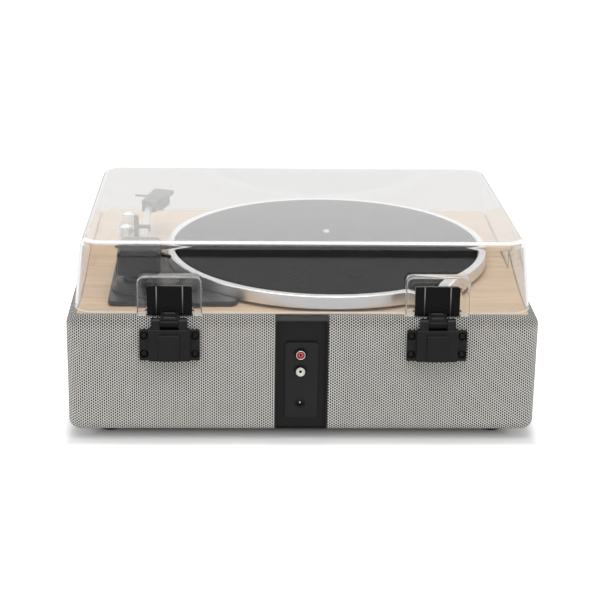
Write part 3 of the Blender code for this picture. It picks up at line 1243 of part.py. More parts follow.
def make_hinge_leaf(name, x, plastic):
    """The knuckle on the pin, the short arm over the plinth's edge and the tongue inside the lid's pocket."""
    front = leaf_front()
    half = LEAF_WIDTH / 2
    below = LEAF_LOW - LEAF_RADIUS * 2
    leaf = tool(block((x - half, front, below), (x + half, front + LEAF_THICKNESS, LEAF_HIGH), LEAF_RADIUS, 1))
    cut(leaf, tool(box_bm((x - WIDTH, FRONT, 0), (x + WIDTH, PIN_Y, LEAF_LOW))))
    for side in (-1, 1):
        rib = box_bm((x + side * LEAF_RIB_X - LEAF_RIB / 2, front + LEAF_THICKNESS / 2, LEAF_LOW + LEAF_RIB),
                     (x + side * LEAF_RIB_X + LEAF_RIB / 2, front + LEAF_THICKNESS + LEAF_RIB, LEAF_HIGH - LEAF_RIB))
        join(leaf, tool(rib))
    half = KNUCKLE_WIDTH / 2
    join(leaf, tool(rod((x, PIN_Y, PIN_Z), KNUCKLE_RADIUS, -half, half, "X", ROUND_SIDES)))
    thick = LEAF_ARM_THICKNESS
    inside = front + LEAF_THICKNESS / 2
    arm = [(inside, LEAF_LOW + FIT), (PIN_Y - KNUCKLE_RADIUS, PIN_Z + KNUCKLE_RADIUS / 3), (PIN_Y, PIN_Z),
           (PIN_Y, PIN_Z + KNUCKLE_RADIUS), (front + LEAF_THICKNESS, LEAF_LOW + thick), (inside, LEAF_LOW + thick)]
    join(leaf, tool(side_slab(arm, x - half, x + half)))
    half = CATCH_WIDTH / 2
    catch_low = LEAF_LOW + thick / 2
    join(leaf, tool(box_bm((x - half, inside, catch_low),
                           (x + half, front + LEAF_THICKNESS + CATCH_PROUD, catch_low + CATCH_HEIGHT))))
    cut(leaf, tool(rod((x, PIN_Y, PIN_Z), PIN_RADIUS + FIT, -WIDTH, WIDTH, "X", ROUND_SIDES)))
    leaf.name = name
    finished(leaf, plastic)
    set_origin(leaf, (x, PIN_Y, PIN_Z))


def build():
    clear_scene()
    black = material("black_plastic", (0.025, 0.025, 0.027), 0.45)
    satin = material("satin_black_plastic", (0.045, 0.045, 0.05), 0.35)
    board = material("fibreboard", (0.42, 0.30, 0.19), 0.8)
    rubber = material("black_rubber", (0.02, 0.02, 0.02), 0.8)
    make_fabric(material("speaker_cloth", (0.55, 0.53, 0.50), 0.9))
    make_boards(board)
    make_deck(material("oak_veneer", (0.78, 0.62, 0.46), 0.55))
    make_base(board, rubber)
    _, face = make_recess(black, satin)
    insulators = {"red": material("red_insulator", (0.45, 0.02, 0.02), 0.4),
                  "white": material("white_insulator", (0.85, 0.84, 0.80), 0.4)}
    make_sockets(face, material("nickel", (0.75, 0.74, 0.72), 0.25, 1.0), insulators, black)
    steel = material("zinc_plated_steel", (0.62, 0.62, 0.63), 0.35, 1.0)
    make_speakers(steel, material("cone_paper", (0.06, 0.06, 0.06), 0.8))
    make_electronics(material("circuit_board", (0.05, 0.22, 0.09), 0.6))
    make_knobs(material("knob_chrome", (0.82, 0.82, 0.83), 0.12, 1.0))
    brass = material("turned_brass", (0.78, 0.62, 0.30), 0.3, 1.0)
    make_drive(steel, brass, rubber)
    aluminium = material("turned_aluminium", (0.80, 0.80, 0.81), 0.28, 1.0)
    make_platter(aluminium, material("mat_felt", (0.03, 0.03, 0.032), 0.95), steel, brass)
    make_arm_base(satin)
    make_switch(black)
    make_cueing(black)
    make_yoke(satin)
    make_housing(satin, material("cast_zinc", (0.5, 0.5, 0.5), 0.4, 1.0))
    make_arm(aluminium, black, satin)
    make_rest(black)
    make_lid(material("clear_acrylic", (0.92, 0.93, 0.93), 0.05, 0.0, 0.25), rubber)
    make_hinges(black, material("black_screw", (0.05, 0.05, 0.05), 0.35, 1.0))


build()
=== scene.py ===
"""All-in-one record player: the looks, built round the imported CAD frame."""
import math

import bmesh
import bpy
from mathutils import Matrix, Vector


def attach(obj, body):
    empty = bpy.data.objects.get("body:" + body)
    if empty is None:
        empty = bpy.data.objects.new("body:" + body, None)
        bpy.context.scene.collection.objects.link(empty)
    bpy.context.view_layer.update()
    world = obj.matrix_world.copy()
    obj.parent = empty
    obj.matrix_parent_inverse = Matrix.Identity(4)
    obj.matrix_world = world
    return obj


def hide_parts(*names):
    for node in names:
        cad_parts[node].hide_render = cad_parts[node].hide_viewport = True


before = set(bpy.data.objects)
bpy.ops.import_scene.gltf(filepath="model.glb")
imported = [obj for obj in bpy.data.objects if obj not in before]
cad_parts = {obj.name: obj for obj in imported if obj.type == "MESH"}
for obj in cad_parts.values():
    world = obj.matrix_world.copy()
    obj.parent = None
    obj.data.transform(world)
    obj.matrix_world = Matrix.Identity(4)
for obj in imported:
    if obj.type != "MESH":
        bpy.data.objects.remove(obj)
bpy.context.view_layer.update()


# ---- Camera
# A long lens behind the player, about twenty degrees above it, square to the rear face.
eye = (0.0564, 1.5984, 0.6438)
turn, tip, roll = -0.0367, 0.34015, -0.01561
camera = bpy.data.objects.new("camera", bpy.data.cameras.new("camera"))
camera.data.lens = 104.19
camera.data.sensor_width = 36
camera.data.clip_end = 60
camera.matrix_world = (Matrix.Translation(eye) @ Matrix.Rotation(math.pi + turn, 4, "Z")
                       @ Matrix.Rotation(math.pi / 2 - tip, 4, "X") @ Matrix.Rotation(-roll, 4, "Z"))
bpy.context.scene.collection.objects.link(camera)
bpy.context.scene.camera = camera
bpy.context.scene.view_settings.view_transform = "Standard"


# ---- Studio
# White sweep under and behind the player, a soft box overhead, a lit wall ahead and one on each side.
class Wire:
    """One output socket: arithmetic on it adds Math nodes, and node() adds any other node."""

    def __init__(self, socket):
        self.socket = socket

    def node(self, kind, sockets, output=0, **settings):
        tree = self.socket.id_data
        made = tree.nodes.new("ShaderNode" + kind)
        for stop, colour in settings.pop("stops", ()):
            made.color_ramp.elements.new(stop).color = colour
        for name, value in settings.items():
            setattr(made, name, value)
        for name, value in sockets.items():
            if isinstance(value, Wire):
                tree.links.new(value.socket, made.inputs[name])
            else:
                made.inputs[name].default_value = value
        return Wire(made.outputs[output])

    def math(self, operation, *others):
        return self.node("Math", dict(enumerate((self, *others))), operation=operation)

    def __add__(self, other):
        return self.math("ADD", other)

    def __mul__(self, other):
        return self.math("MULTIPLY", other)

    def __sub__(self, other):
        return self.math("SUBTRACT", other)

    def __rsub__(self, other):
        return self.node("Math", {0: other, 1: self}, operation="SUBTRACT")

    __radd__ = __add__
    __rmul__ = __mul__

    def step(self, low, high):
        """Rises smoothly from 0 at low to 1 at high."""
        return self.node("MapRange", {"Value": self, "From Min": low, "From Max": high},
                         interpolation_type="SMOOTHSTEP")

    def axis(self, number):
        return self.node("SeparateXYZ", {0: self}, number)

    def spaced(self, scale, place=(0, 0, 0), rotation=(0, 0, 0)):
        """The same coordinates, turned, moved and then scaled."""
        return self.node("Mapping", {"Vector": self, "Scale": scale, "Location": place, "Rotation": rotation})

    def noise(self, scale, detail=2.0, roughness=0.5):
        return self.node("TexNoise", {"Vector": self, "Scale": scale, "Detail": detail, "Roughness": roughness})

    def between(self, first, second):
        """A colour between two, with this socket as the share of the second."""
        return self.node("Mix", {0: self, 6: first, 7: second}, 2, data_type="RGBA")

    def bump(self, depth, strength=1.0):
        return self.node("Bump", {"Height": self, "Distance": depth, "Strength": strength})


# The world is white to the camera, in gloss and through clear plastic; it lights the rest at half of that.
world = bpy.data.worlds.new("studio")
bpy.context.scene.world = world
world.use_nodes = True
backdrop = world.node_tree.nodes["Background"]
from_camera = Wire(world.node_tree.nodes.new("ShaderNodeLightPath").outputs["Is Camera Ray"])
in_gloss = from_camera.node("LightPath", {}, "Is Glossy Ray")
through_clear = from_camera.node("LightPath", {}, "Is Transmission Ray")
seen = (from_camera + in_gloss + through_clear).math("MINIMUM", 1.0)
unseen_strength = 0.5
strength = seen * (1 - unseen_strength) + unseen_strength
world.node_tree.links.new(strength.socket, backdrop.inputs["Strength"])
backdrop.inputs["Color"].default_value = (1, 1, 1, 1)

# Outside the player's outline the sweep is lifted to white for the camera, which leaves the near shadow.
bpy.ops.mesh.primitive_plane_add(size=12)
floor = bpy.context.object
floor.name = "studio_floor"
sweep = bpy.data.materials.new("white_sweep")
sweep.use_nodes = True
shader = sweep.node_tree.nodes["Principled BSDF"]
shader.inputs["Base Color"].default_value = (0.68, 0.68, 0.68, 1)
shader.inputs["Roughness"].default_value = 0.9
place = Wire(sweep.node_tree.nodes.new("ShaderNodeTexCoord").outputs["Object"])
outline_half_x, outline_half_y, outline_y = 0.202, 0.165, -0.005
beyond_side = place.axis(0).math("ABSOLUTE") - outline_half_x
beyond_rear = (place.axis(1) - outline_y).math("ABSOLUTE") - outline_half_y
beyond = beyond_side.math("MAXIMUM", beyond_rear)
edge_glow, full_glow = 0.2, 0.55
glow = beyond.step(-0.030, -0.006) * edge_glow + beyond.step(0.004, 0.022) * full_glow
sweep.node_tree.links.new(
    (glow * place.node("LightPath", {}, "Is Camera Ray")).socket, shader.inputs["Emission Strength"])
shader.inputs["Emission Color"].default_value = (1, 1, 1, 1)
floor.data.materials.append(sweep)


def soft_box(name, place, aim, size, power):
    """A flat lamp that faces a point; the camera doesn't see it, gloss does."""
    lamp = bpy.data.lights.new(name, "AREA")
    lamp.shape = "RECTANGLE"
    lamp.size, lamp.size_y = size
    lamp.energy = power
    made = bpy.data.objects.new(name, lamp)
    look = (Vector(aim) - Vector(place)).to_track_quat("-Z", "Y")
    made.matrix_world = Matrix.Translation(place) @ look.to_matrix().to_4x4()
    bpy.context.scene.collection.objects.link(made)
    made.visible_camera = False


middle = (0, 0, 0.1)
soft_box("overhead", (0.1, 0.5, 1.7), middle, (1.8, 1.5), 17)
soft_box("front_wall", (0, -2.6, 0.62), (0, 0, 0.62), (4.4, 1.2), 2.3)
soft_box("left_wall", (2.2, 0.5, 0.8), middle, (1.6, 1.5), 9)
soft_box("right_wall", (-2.2, 0.5, 0.8), middle, (1.6, 1.5), 9)

# A black card lies on the floor under and behind the camera, where only reflections find it.
bpy.ops.mesh.primitive_plane_add(size=1)
card = bpy.context.object
card.name = "dark_card"
card_width, card_depth, card_y, card_lift = 6, 4, 3.12, 0.002
card.data.transform(Matrix.Translation((0, card_y, card_lift)) @ Matrix.Diagonal((card_width, card_depth, 1, 1)))
velvet = bpy.data.materials.new("dark_velvet")
velvet.use_nodes = True
shader = velvet.node_tree.nodes["Principled BSDF"]
shader.inputs["Base Color"].default_value = (0.02, 0.02, 0.02, 1)
shader.inputs["Specular IOR Level"].default_value = 0
card.data.materials.append(velvet)
card.visible_camera = card.visible_diffuse = card.visible_shadow = False


# ---- Loudspeaker cloth
# A sleeve of woven polyester, warm grey with black holes, drawn round the boards and turned in
# at the deck and underneath. It is cut away at the rear for the socket strip.
half_width, front, rear = 0.210, -0.17175, 0.16125
mid_y = (front + rear) / 2
box_low, box_top = 0.009, 0.1184
corner, edge_round = 0.012, 0.009
strip_half, strip_x, strip_depth = 0.0238, 0.0012, 0.0109
merge = 0.000002


def cube(low, high):
    """A plain block between two corners, to be shaped further."""
    bm = bmesh.new()
    bmesh.ops.create_cube(bm, size=1)
    low, high = Vector(low), Vector(high)
    bmesh.ops.scale(bm, verts=bm.verts, vec=high - low)
    bmesh.ops.translate(bm, verts=bm.verts, vec=(low + high) / 2)
    return bm


def along(bm, axis):
    """The edges that run along an axis."""
    return [e for e in bm.edges
            if abs((e.verts[1].co - e.verts[0].co)[axis]) > 0.999 * e.calc_length()]


def lying_at(bm, axis, value):
    """The edges that lie in one plane across an axis."""
    return [e for e in bm.edges if all(abs(v.co[axis] - value) < merge for v in e.verts)]


def round_over(bm, edges, radius, steps):
    """Rounds edges off."""
    bmesh.ops.bevel(bm, geom=edges, offset=radius, segments=steps, profile=0.5, affect="EDGES",
                    material=-1, clamp_overlap=True)
    return bm


def cut_at(bm, axis, *places, drop_below=False):
    """Cuts new edges into a mesh where planes across an axis pass through it."""
    normal = Vector((0, 0, 0))
    normal[axis] = 1
    for place in places:
        everything = bm.verts[:] + bm.edges[:] + bm.faces[:]
        bmesh.ops.bisect_plane(bm, geom=everything, plane_co=normal * place, plane_no=normal,
                               clear_inner=drop_below)


def pushed_out(bm, faces, shift):
    """Extrudes faces by a vector and keeps the first ones, so that a flat form becomes a closed one."""
    grown = bmesh.ops.extrude_face_region(bm, geom=faces)["geom"]
    moved = [v for v in grown if isinstance(v, bmesh.types.BMVert)]
    bmesh.ops.translate(bm, verts=moved, vec=shift)
    return bm


def block(low, high, radius=0.0, axis=2, edge=0.0, steps=5, ends=(True, True)):
    """A block whose corners are rounded along one axis, with rounded edges at one or both ends."""
    bm = cube(low, high)
    if radius:
        round_over(bm, along(bm, axis), radius, steps)
    if edge:
        chosen = [end for end, wanted in zip((low[axis], high[axis]), ends) if wanted]
        round_over(bm, [e for end in chosen for e in lying_at(bm, axis, end)], edge, 3)
    return bm


def gathered(*parts):
    """Several forms in one mesh."""
    whole = bmesh.new()
    for part in parts:
        step = bpy.data.meshes.new("step")
        part.to_mesh(step)
        part.free()
        whole.from_mesh(step)
        bpy.data.meshes.remove(step)
    return whole


def order_of(element):
    """A number from the place of a vertex, an edge or a face, so that every run sorts them alike."""
    corners = [element] if isinstance(element, bmesh.types.BMVert) else element.verts
    middle = sum((vert.co for vert in corners), Vector()) / len(corners)
    return sum(round(place, 6) * share for place, share in zip(middle, (1, math.sqrt(2), math.sqrt(3))))


pieces = []


def piece(name, bm, finish, body, stands_for=(), crease=32):
    """Makes the object, which rides on its body and stands for CAD nodes."""
    bmesh.ops.remove_doubles(bm, verts=bm.verts, dist=merge)
    for elements in (bm.verts, bm.edges, bm.faces):
        elements.sort(key=order_of)
    bmesh.ops.recalc_face_normals(bm, faces=bm.faces)
    centre = sum((vert.co for vert in bm.verts), Vector()) / len(bm.verts)
    if sum(f.calc_area() * f.normal.dot(f.calc_center_median() - centre) for f in bm.faces) < 0:
        bmesh.ops.reverse_faces(bm, faces=bm.faces)
    mesh = bpy.data.meshes.new(name)
    bm.to_mesh(mesh)
    bm.free()
    mesh.materials.append(finish)
    mesh.shade_smooth()
    mesh.set_sharp_from_angle(angle=math.radians(crease))
    made = bpy.data.objects.new(name, mesh)
    bpy.context.scene.collection.objects.link(made)
    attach(made, body)
    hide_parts(*stands_for)
    pieces.append(made)
    return made


def new_finish(name, sockets):
    """A material with plain values on its Principled shader, and its object coordinates as a wire."""
    made = bpy.data.materials.new(name)
    made.use_nodes = True
    principled = made.node_tree.nodes["Principled BSDF"]
    for socket, value in sockets.items():
        principled.inputs[socket].default_value = value
    coordinates = made.node_tree.nodes.new("ShaderNodeTexCoord")
    return made, Wire(coordinates.outputs["Object"])


def feed(finish, sockets):
    """Leads wires into a finish's Principled shader."""
    tree = finish.node_tree
    for socket, wire in sockets.items():
        tree.links.new(wire.socket, tree.nodes["Principled BSDF"].inputs[socket])


def soften(made, width, steps=2, angle=40):
    """A small rounded edge round the whole piece, as moulding or filing leaves it."""
    rounding = made.modifiers.new("edges", "BEVEL")
    rounding.width = width
    rounding.segments = steps
    rounding.limit_method = "ANGLE"
    rounding.angle_limit = math.radians(angle)


def walled(made, thickness, even=False):
    """Gives an open skin a wall, which grows inwards from its surface."""
    wall = made.modifiers.new("wall", "SOLIDIFY")
    wall.thickness = thickness
    wall.offset = -1
    wall.use_even_offset = even


def unrolled(point):
    """How far round the sleeve and up it a point lies, in metres of cloth."""
    x, y, z = point.x, point.y - mid_y, point.z
    a, b = half_width - corner, (rear - front) / 2 - corner
    side, bend = math.copysign(1, x), corner * math.pi / 2
    if y < -b and abs(x) <= a + merge:
        round_it = a + 2 * bend + 2 * b + (a - x)
    elif y > b and abs(x) <= a + merge:
        round_it = x
    elif abs(y) <= b + merge:
        round_it = side * (a + bend + b - y)
    elif y > 0:
        round_it = side * (a + corner * math.atan2(abs(x) - a, y - b))
    else:
        round_it = side * (a + bend + 2 * b + corner * math.atan2(-y - b, abs(x) - a))
    over = min(1.0, max(0.0, (z - box_top + edge_round) / edge_round))
    under = min(1.0, max(0.0, (box_low + edge_round - z) / edge_round))
    level = min(max(z, box_low + edge_round), box_top - edge_round)
    return round_it, level + edge_round * (math.asin(over) - math.asin(under))


sleeve = cube((-half_width, front, box_low), (half_width, rear, box_top))
round_over(sleeve, along(sleeve, 2), corner, 8)
round_over(sleeve, lying_at(sleeve, 2, box_top) + lying_at(sleeve, 2, box_low), edge_round, 8)
flats = [f for f in sleeve.faces if abs(f.normal.z) > 0.999]
bmesh.ops.delete(sleeve, geom=flats, context="FACES")
for level, drop, draw_in in ((box_top, -0.0035, 0), (box_low, 0, 0.0045)):
    rim = lying_at(sleeve, 2, level)
    grown = bmesh.ops.extrude_edge_only(sleeve, edges=rim)["geom"]
    turned_in = [v for v in grown if isinstance(v, bmesh.types.BMVert)]
    shrink = (1 - draw_in / half_width, 1 - draw_in / (rear - mid_y), 1)
    bmesh.ops.scale(sleeve, verts=turned_in, vec=shrink, space=Matrix.Translation((0, -mid_y, 0)))
    bmesh.ops.translate(sleeve, verts=turned_in, vec=(0, 0, drop))
cut_at(sleeve, 0, strip_x + strip_half, strip_x - strip_half)
cut_at(sleeve, 1, rear - strip_depth)
behind_strip = [f for f in sleeve.faces if abs(f.calc_center_median().x - strip_x) < strip_half
                and f.calc_center_median().y > rear - strip_depth]
bmesh.ops.delete(sleeve, geom=behind_strip, context="FACES")
lengths = sleeve.loops.layers.uv.new("weave")
for face in sleeve.faces:
    middle_x = face.calc_center_median().x
    for loop in face.loops:
        point = loop.vert.co.copy()
        point.x = math.copysign(max(abs(point.x), merge), point.x or middle_x)
        loop[lengths].uv = unrolled(point)

cloth, place = new_finish("woven_speaker_cloth", {"Roughness": 0.85, "Specular IOR Level": 0.25})
weave = place.node("UVMap", {}, uv_map="weave")
column_pitch, row_pitch = 0.00385, 0.0026
turn_across = weave.axis(0) * (math.tau / column_pitch)
upward = (weave.axis(1) * (math.tau / row_pitch)).math("COSINE")
lattice = turn_across.math("COSINE") * upward * 2 + (turn_across * 2).math("COSINE")
# Painted shade: the holes open wider towards the top rounding, which darkens the cloth there.
top_rounding_shade = weave.axis(1).step(box_top - 0.013, box_top - 0.003)
hole = (lattice + top_rounding_shade * 0.6).step(-0.75, 0.5)
thread = place.noise(1400, 2) * 0.5 + place.noise(60, 3) * 0.5
yarn = thread.between((0.72, 0.70, 0.655, 1), (0.97, 0.95, 0.905, 1))
feed(cloth, {"Base Color": hole.between(yarn, (0.006, 0.0055, 0.005, 1)),
             "Normal": (1 - hole + thread * 0.3).bump(0.0004, 0.8)})
walled(piece("cloth_sleeve", sleeve, cloth, "plinth", ("fabric_cover",)), 0.0012)


# ---- Rubber feet
# Four round feet of black rubber, moulded with a rounded tread and glued under the base.
def lathe(profile, centre, axis="Z", steps=64):
    """A form turned from (radius, height) points; open ends off the axis close into a ring."""
    bm = bmesh.new()
    verts = [bm.verts.new((radius, 0, height)) for radius, height in profile]
    edges = [bm.edges.new(pair) for pair in zip(verts, verts[1:])]
    if profile[0][0] or profile[-1][0]:
        edges.append(bm.edges.new((verts[-1], verts[0])))
    bmesh.ops.spin(bm, geom=verts + edges, cent=(0, 0, 0), axis=(0, 0, 1), angle=math.tau,
                   steps=steps, use_merge=True)
    bmesh.ops.remove_doubles(bm, verts=bm.verts, dist=merge)
    turns = {"Z": Matrix(), "Y": Matrix.Rotation(-math.pi / 2, 4, "X"),
             "X": Matrix.Rotation(math.pi / 2, 4, "Y")}
    bmesh.ops.transform(bm, matrix=Matrix.Translation(centre) @ turns[axis], verts=bm.verts)
    return bm


def sweep_of(centre, radius, start, end, steps):
    """Points on an arc in a profile, with angles in degrees."""
    angles = [math.radians(start + (end - start) * k / steps) for k in range(steps + 1)]
    return [(centre[0] + radius * math.cos(a), centre[1] + radius * math.sin(a)) for a in angles]


def dress(finish, *names):
    """Gives carried-over CAD nodes a finish."""
    for name in names:
        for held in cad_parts[name].material_slots:
            held.material = finish


rubber, place = new_finish("black_rubber", {"Base Color": (0.018, 0.017, 0.016, 1)})
feed(rubber, {"Roughness": place.noise(300, 4) * 0.25 + 0.6, "Normal": place.noise(2200, 3).bump(0.00012)})
foot_radius, foot_height, tread_round, foot_draft = 0.013, 0.0087, 0.0015, 0.0006
foot_x, foot_y = 0.1745, 0.131
tread = [(0, 0)] + sweep_of((foot_radius - tread_round, tread_round), tread_round, -90, 0, 4)
tread += [(foot_radius - foot_draft, foot_height), (0, foot_height)]
for name, x, y in (("front_left", -1, -1), ("front_right", 1, -1), ("rear_left", -1, 1), ("rear_right", 1, 1)):
    foot = lathe(tread, (x * foot_x, mid_y + y * foot_y, 0), steps=48)
    piece("rubber_foot_" + name, foot, rubber, "plinth", ("foot_" + name,))
dress(rubber, "lid_bumper_left", "lid_bumper_right", "drive_belt")


# ---- Boards
# Medium-density fibreboard walls and base, sawn and sanded; all but the base are hidden by the cloth.
board, place = new_finish("sanded_fibreboard", {"Roughness": 0.85})
fibre = place.spaced((1, 1, 6)).noise(900, 4, 0.7)
feed(board, {"Base Color": fibre.between((0.24, 0.155, 0.085, 1), (0.40, 0.28, 0.17, 1)),
             "Normal": fibre.bump(0.0002)})
dress(board, "front_board", "rear_board", "left_board", "right_board", "base_panel")


# ---- Deck
# Board veneered with pale oak, straight-grained along its length, under a matt lacquer.
oak, place = new_finish("oak_veneer", {"Specular IOR Level": 0.3})
drift = place.spaced((1.2, 9, 9)).noise(2.0, 2) * 0.02
leant = place.node("VectorMath", {0: place, 1: drift}, operation="ADD")
bands = leant.spaced((1.0, 22, 22)).noise(3.0, 3, 0.55)
lines = leant.spaced((4, 560, 560)).noise(1.0, 3, 0.6)
pores = leant.spaced((36, 1500, 1500)).noise(1.0, 1).step(0.60, 0.72)
wood = (bands * 0.35 + lines * 0.65).step(0.32, 0.68)
tone = wood.between((0.775, 0.59, 0.42, 1), (0.62, 0.435, 0.285, 1))
feed(oak, {"Base Color": (pores * 0.45).between(tone, (0.36, 0.235, 0.145, 1)),
           "Roughness": lines * 0.2 + 0.42, "Normal": (1 - pores * 0.6 - lines * 0.4).bump(0.00008)})
dress(oak, "deck_board")


# ---- Socket strip
# A trough of black ABS let into the rear, which follows the rounding of the box top and bottom.
def moulded(name, colour, roughness, grain=1600, depth=0.00006, shine=0.3):
    """Moulded plastic: an even spark-eroded texture, with a little wear in its gloss."""
    made, place = new_finish(name, {"Specular IOR Level": shine})
    patches = place.noise(45, 3)
    feed(made, {"Base Color": patches.between((*colour, 1), (*(c * 1.25 + 0.002 for c in colour), 1)),
                "Roughness": patches * 0.16 + (roughness - 0.08),
                "Normal": place.noise(grain, 2).bump(depth)})
    return made


black = moulded("black_plastic", (0.007, 0.007, 0.0075), 0.42, 1600, 0.00002)
satin = moulded("satin_black_plastic", (0.013, 0.0125, 0.013), 0.36, 2400, 0.00001)
trough_half, trough_back, trough_floor = 0.0235, rear - 0.0086, rear - 0.0055
opening_half, opening_low, opening_top = 0.022, box_low + 0.002, box_top - 0.004
trough = cube((strip_x - trough_half, trough_back, box_low), (strip_x + trough_half, rear, box_top))
outer_edges = [e for e in along(trough, 0) if e.verts[0].co.y > rear - merge]
round_over(trough, outer_edges, 0.0085, 8)
cut_at(trough, 0, strip_x + opening_half, strip_x - opening_half)
cut_at(trough, 2, opening_low, opening_top)
opening = [f for f in trough.faces if f.normal.y > 0.2 and abs(f.calc_center_median().x - strip_x) < opening_half
           and opening_low < f.calc_center_median().z < opening_top]
sunk = bmesh.ops.extrude_face_region(trough, geom=opening)["geom"]
bmesh.ops.delete(trough, geom=opening, context="FACES")
for vert in (v for v in sunk if isinstance(v, bmesh.types.BMVert)):
    vert.co.y = trough_floor
soften(piece("socket_strip", trough, black, "plinth", ("rear_panel",)), 0.0004)


# ---- Socket plate
# A raised plate of the same plastic, screwed on from inside, with a round well for each socket.
plate_face = rear - 0.00290
plate_half, plate_rise, plate_z = 0.0147, 0.03595, 0.0577
sockets = {"red": (0.0832, 0.0060), "white": (0.0672, 0.0060), "power": (0.0355, 0.0046)}
socket_x = 0.0022


def pierced_plate(low, high, corner_radius, holes, back, face):
    """A plate in the X-Z plane with rounded corners and round holes of (x, z, radius)."""
    bm = bmesh.new()
    bmesh.ops.create_grid(bm, x_segments=1, y_segments=1, size=0.5)
    size = Vector(high) - Vector(low)
    bmesh.ops.scale(bm, verts=bm.verts, vec=(size.x, size.y, 1))
    bmesh.ops.bevel(bm, geom=bm.verts[:], offset=corner_radius, segments=6, profile=0.5,
                    affect="VERTICES", material=-1)
    bmesh.ops.translate(bm, verts=bm.verts, vec=(*((Vector(low) + Vector(high)) / 2), 0))
    bmesh.ops.delete(bm, geom=bm.faces[:], context="FACES_ONLY")
    for x, z, radius in holes:
        bmesh.ops.create_circle(bm, cap_ends=False, radius=radius, segments=32,
                                matrix=Matrix.Translation((x, z, 0)))
    bmesh.ops.triangle_fill(bm, use_beauty=True, use_dissolve=False, edges=bm.edges[:])
    pushed_out(bm, bm.faces[:], (0, 0, face - back))
    stand = Matrix(((1, 0, 0, 0), (0, 0, 1, back), (0, 1, 0, 0), (0, 0, 0, 1)))
    bmesh.ops.transform(bm, matrix=stand, verts=bm.verts)
    return bm


wells = [(socket_x, z, radius) for z, radius in sockets.values()]
fascia = pierced_plate((strip_x - plate_half, plate_z - plate_rise), (strip_x + plate_half, plate_z + plate_rise),
                       0.003, wells, trough_floor + 0.0002, plate_face)
soften(piece("socket_fascia", fascia, satin, "plinth", ("socket_plate",)), 0.0005, 3, 60)


# ---- Phono sockets and power inlet
# Nickel-plated sleeves over red and white nylon, with a contact tube inside; the inlet is a black
# barrel with a nickel pin. All are soldered to a board and reach through the plate.
def pipe(inner, outer, low, high, centre, axis="Z", steps=64):
    """A plain length of pipe, or a rod where the inner radius is 0."""
    return lathe([(inner, low), (outer, low), (outer, high), (inner, high)], centre, axis, steps)


nickel, place = new_finish("nickel_plate", {"Base Color": (0.80, 0.78, 0.74, 1), "Metallic": 1.0})
feed(nickel, {"Roughness": place.noise(700, 3) * 0.18 + 0.12, "Normal": place.noise(500, 2).bump(0.00003)})
insulators = {"red": (0.50, 0.012, 0.010), "white": (0.86, 0.85, 0.80)}
socket_back = -0.0065
for colour, shade in insulators.items():
    centre = (socket_x, plate_face, sockets[colour][0])
    sleeve_profile = [(0.0035, socket_back), (0.0042, socket_back), (0.0042, 0.0043)]
    sleeve_profile += sweep_of((0.00385, 0.0044), 0.00035, 0, 180, 6)
    piece("socket_sleeve_" + colour, lathe(sleeve_profile, centre, "Y", 48), nickel, "plinth",
          ("phono_sleeve_" + colour,))
    nylon = moulded(colour + "_nylon", shade, 0.3, 900, 0.00003)
    core = [(0, socket_back), (0.00345, socket_back), (0.00345, 0.0038), (0.0031, 0.0041), (0.0019, 0.0041),
            (0.0017, 0.0039), (0.0017, -0.003), (0, -0.003)]
    piece("socket_core_" + colour, lathe(core, centre, "Y", 48), nylon, "plinth",
          ("phono_insulator_" + colour,))
    contact = pipe(0.00125, 0.00165, -0.0028, 0.0034, centre, "Y", 32)
    piece("socket_contact_" + colour, contact, nickel, "plinth")
centre = (socket_x, plate_face, sockets["power"][0])
barrel = [(0, -0.0092), (0.0043, -0.0092), (0.0043, 0.0002), (0.0040, 0.0005), (0.0034, 0.0005),
          (0.0032, 0.0002), (0.0032, -0.0085), (0, -0.0085)]
piece("inlet_barrel", lathe(barrel, centre, "Y", 48), black, "plinth", ("power_inlet",))
pin = [(0, -0.0086), (0.00105, -0.0086), (0.00105, -0.0020)]
pin += sweep_of((0.0005, -0.0020), 0.00055, 0, 90, 3) + [(0, -0.00145)]
piece("inlet_pin", lathe(pin, centre, "Y", 24), nickel, "plinth")


# ---- Loudspeakers and boards inside
# Pressed steel baskets with black paper cones, and a green laminate amplifier and control board.
# None of them is seen.
zinc_plate, place = new_finish("zinc_plated_steel", {"Metallic": 1.0})
feed(zinc_plate, {"Base Color": place.noise(60, 3).between((0.50, 0.50, 0.51, 1), (0.70, 0.70, 0.71, 1)),
                  "Roughness": place.noise(240, 3) * 0.2 + 0.25})
dress(zinc_plate, "speaker_basket_left", "speaker_basket_right", "motor_body")
paper, place = new_finish("cone_paper", {"Roughness": 0.8})
pulp = place.noise(1500, 4, 0.7)
feed(paper, {"Base Color": pulp.between((0.03, 0.03, 0.03, 1), (0.075, 0.073, 0.07, 1)),
             "Normal": pulp.bump(0.0003)})
dress(paper, "speaker_cone_left", "speaker_cone_right")
laminate, place = new_finish("green_laminate", {"Roughness": 0.45})
tracks = place.spaced((500, 60, 500)).noise(1.0, 1).step(0.5, 0.53)
feed(laminate, {"Base Color": tracks.between((0.02, 0.13, 0.045, 1), (0.05, 0.24, 0.09, 1)),
                "Normal": tracks.bump(0.00005)})
dress(laminate, "amplifier_board", "control_board")


# ---- Platter
# Die-cast aluminium, faced and polished in a lathe, with a raised rim round the mat. The motor under the
# deck drives its inner ring by a flat belt.
def ringed(place, centre, pitch):
    """Fine concentric tool marks round an upright axis."""
    level = place.spaced((1, 1, 0), (-centre[0], -centre[1], 0))
    radius = level.node("VectorMath", {0: level}, 1, operation="LENGTH")
    turns_out = {"W": radius * (1 / pitch), "Scale": 1.0, "Detail": 2.0}
    return radius.node("TexNoise", turns_out, noise_dimensions="1D")


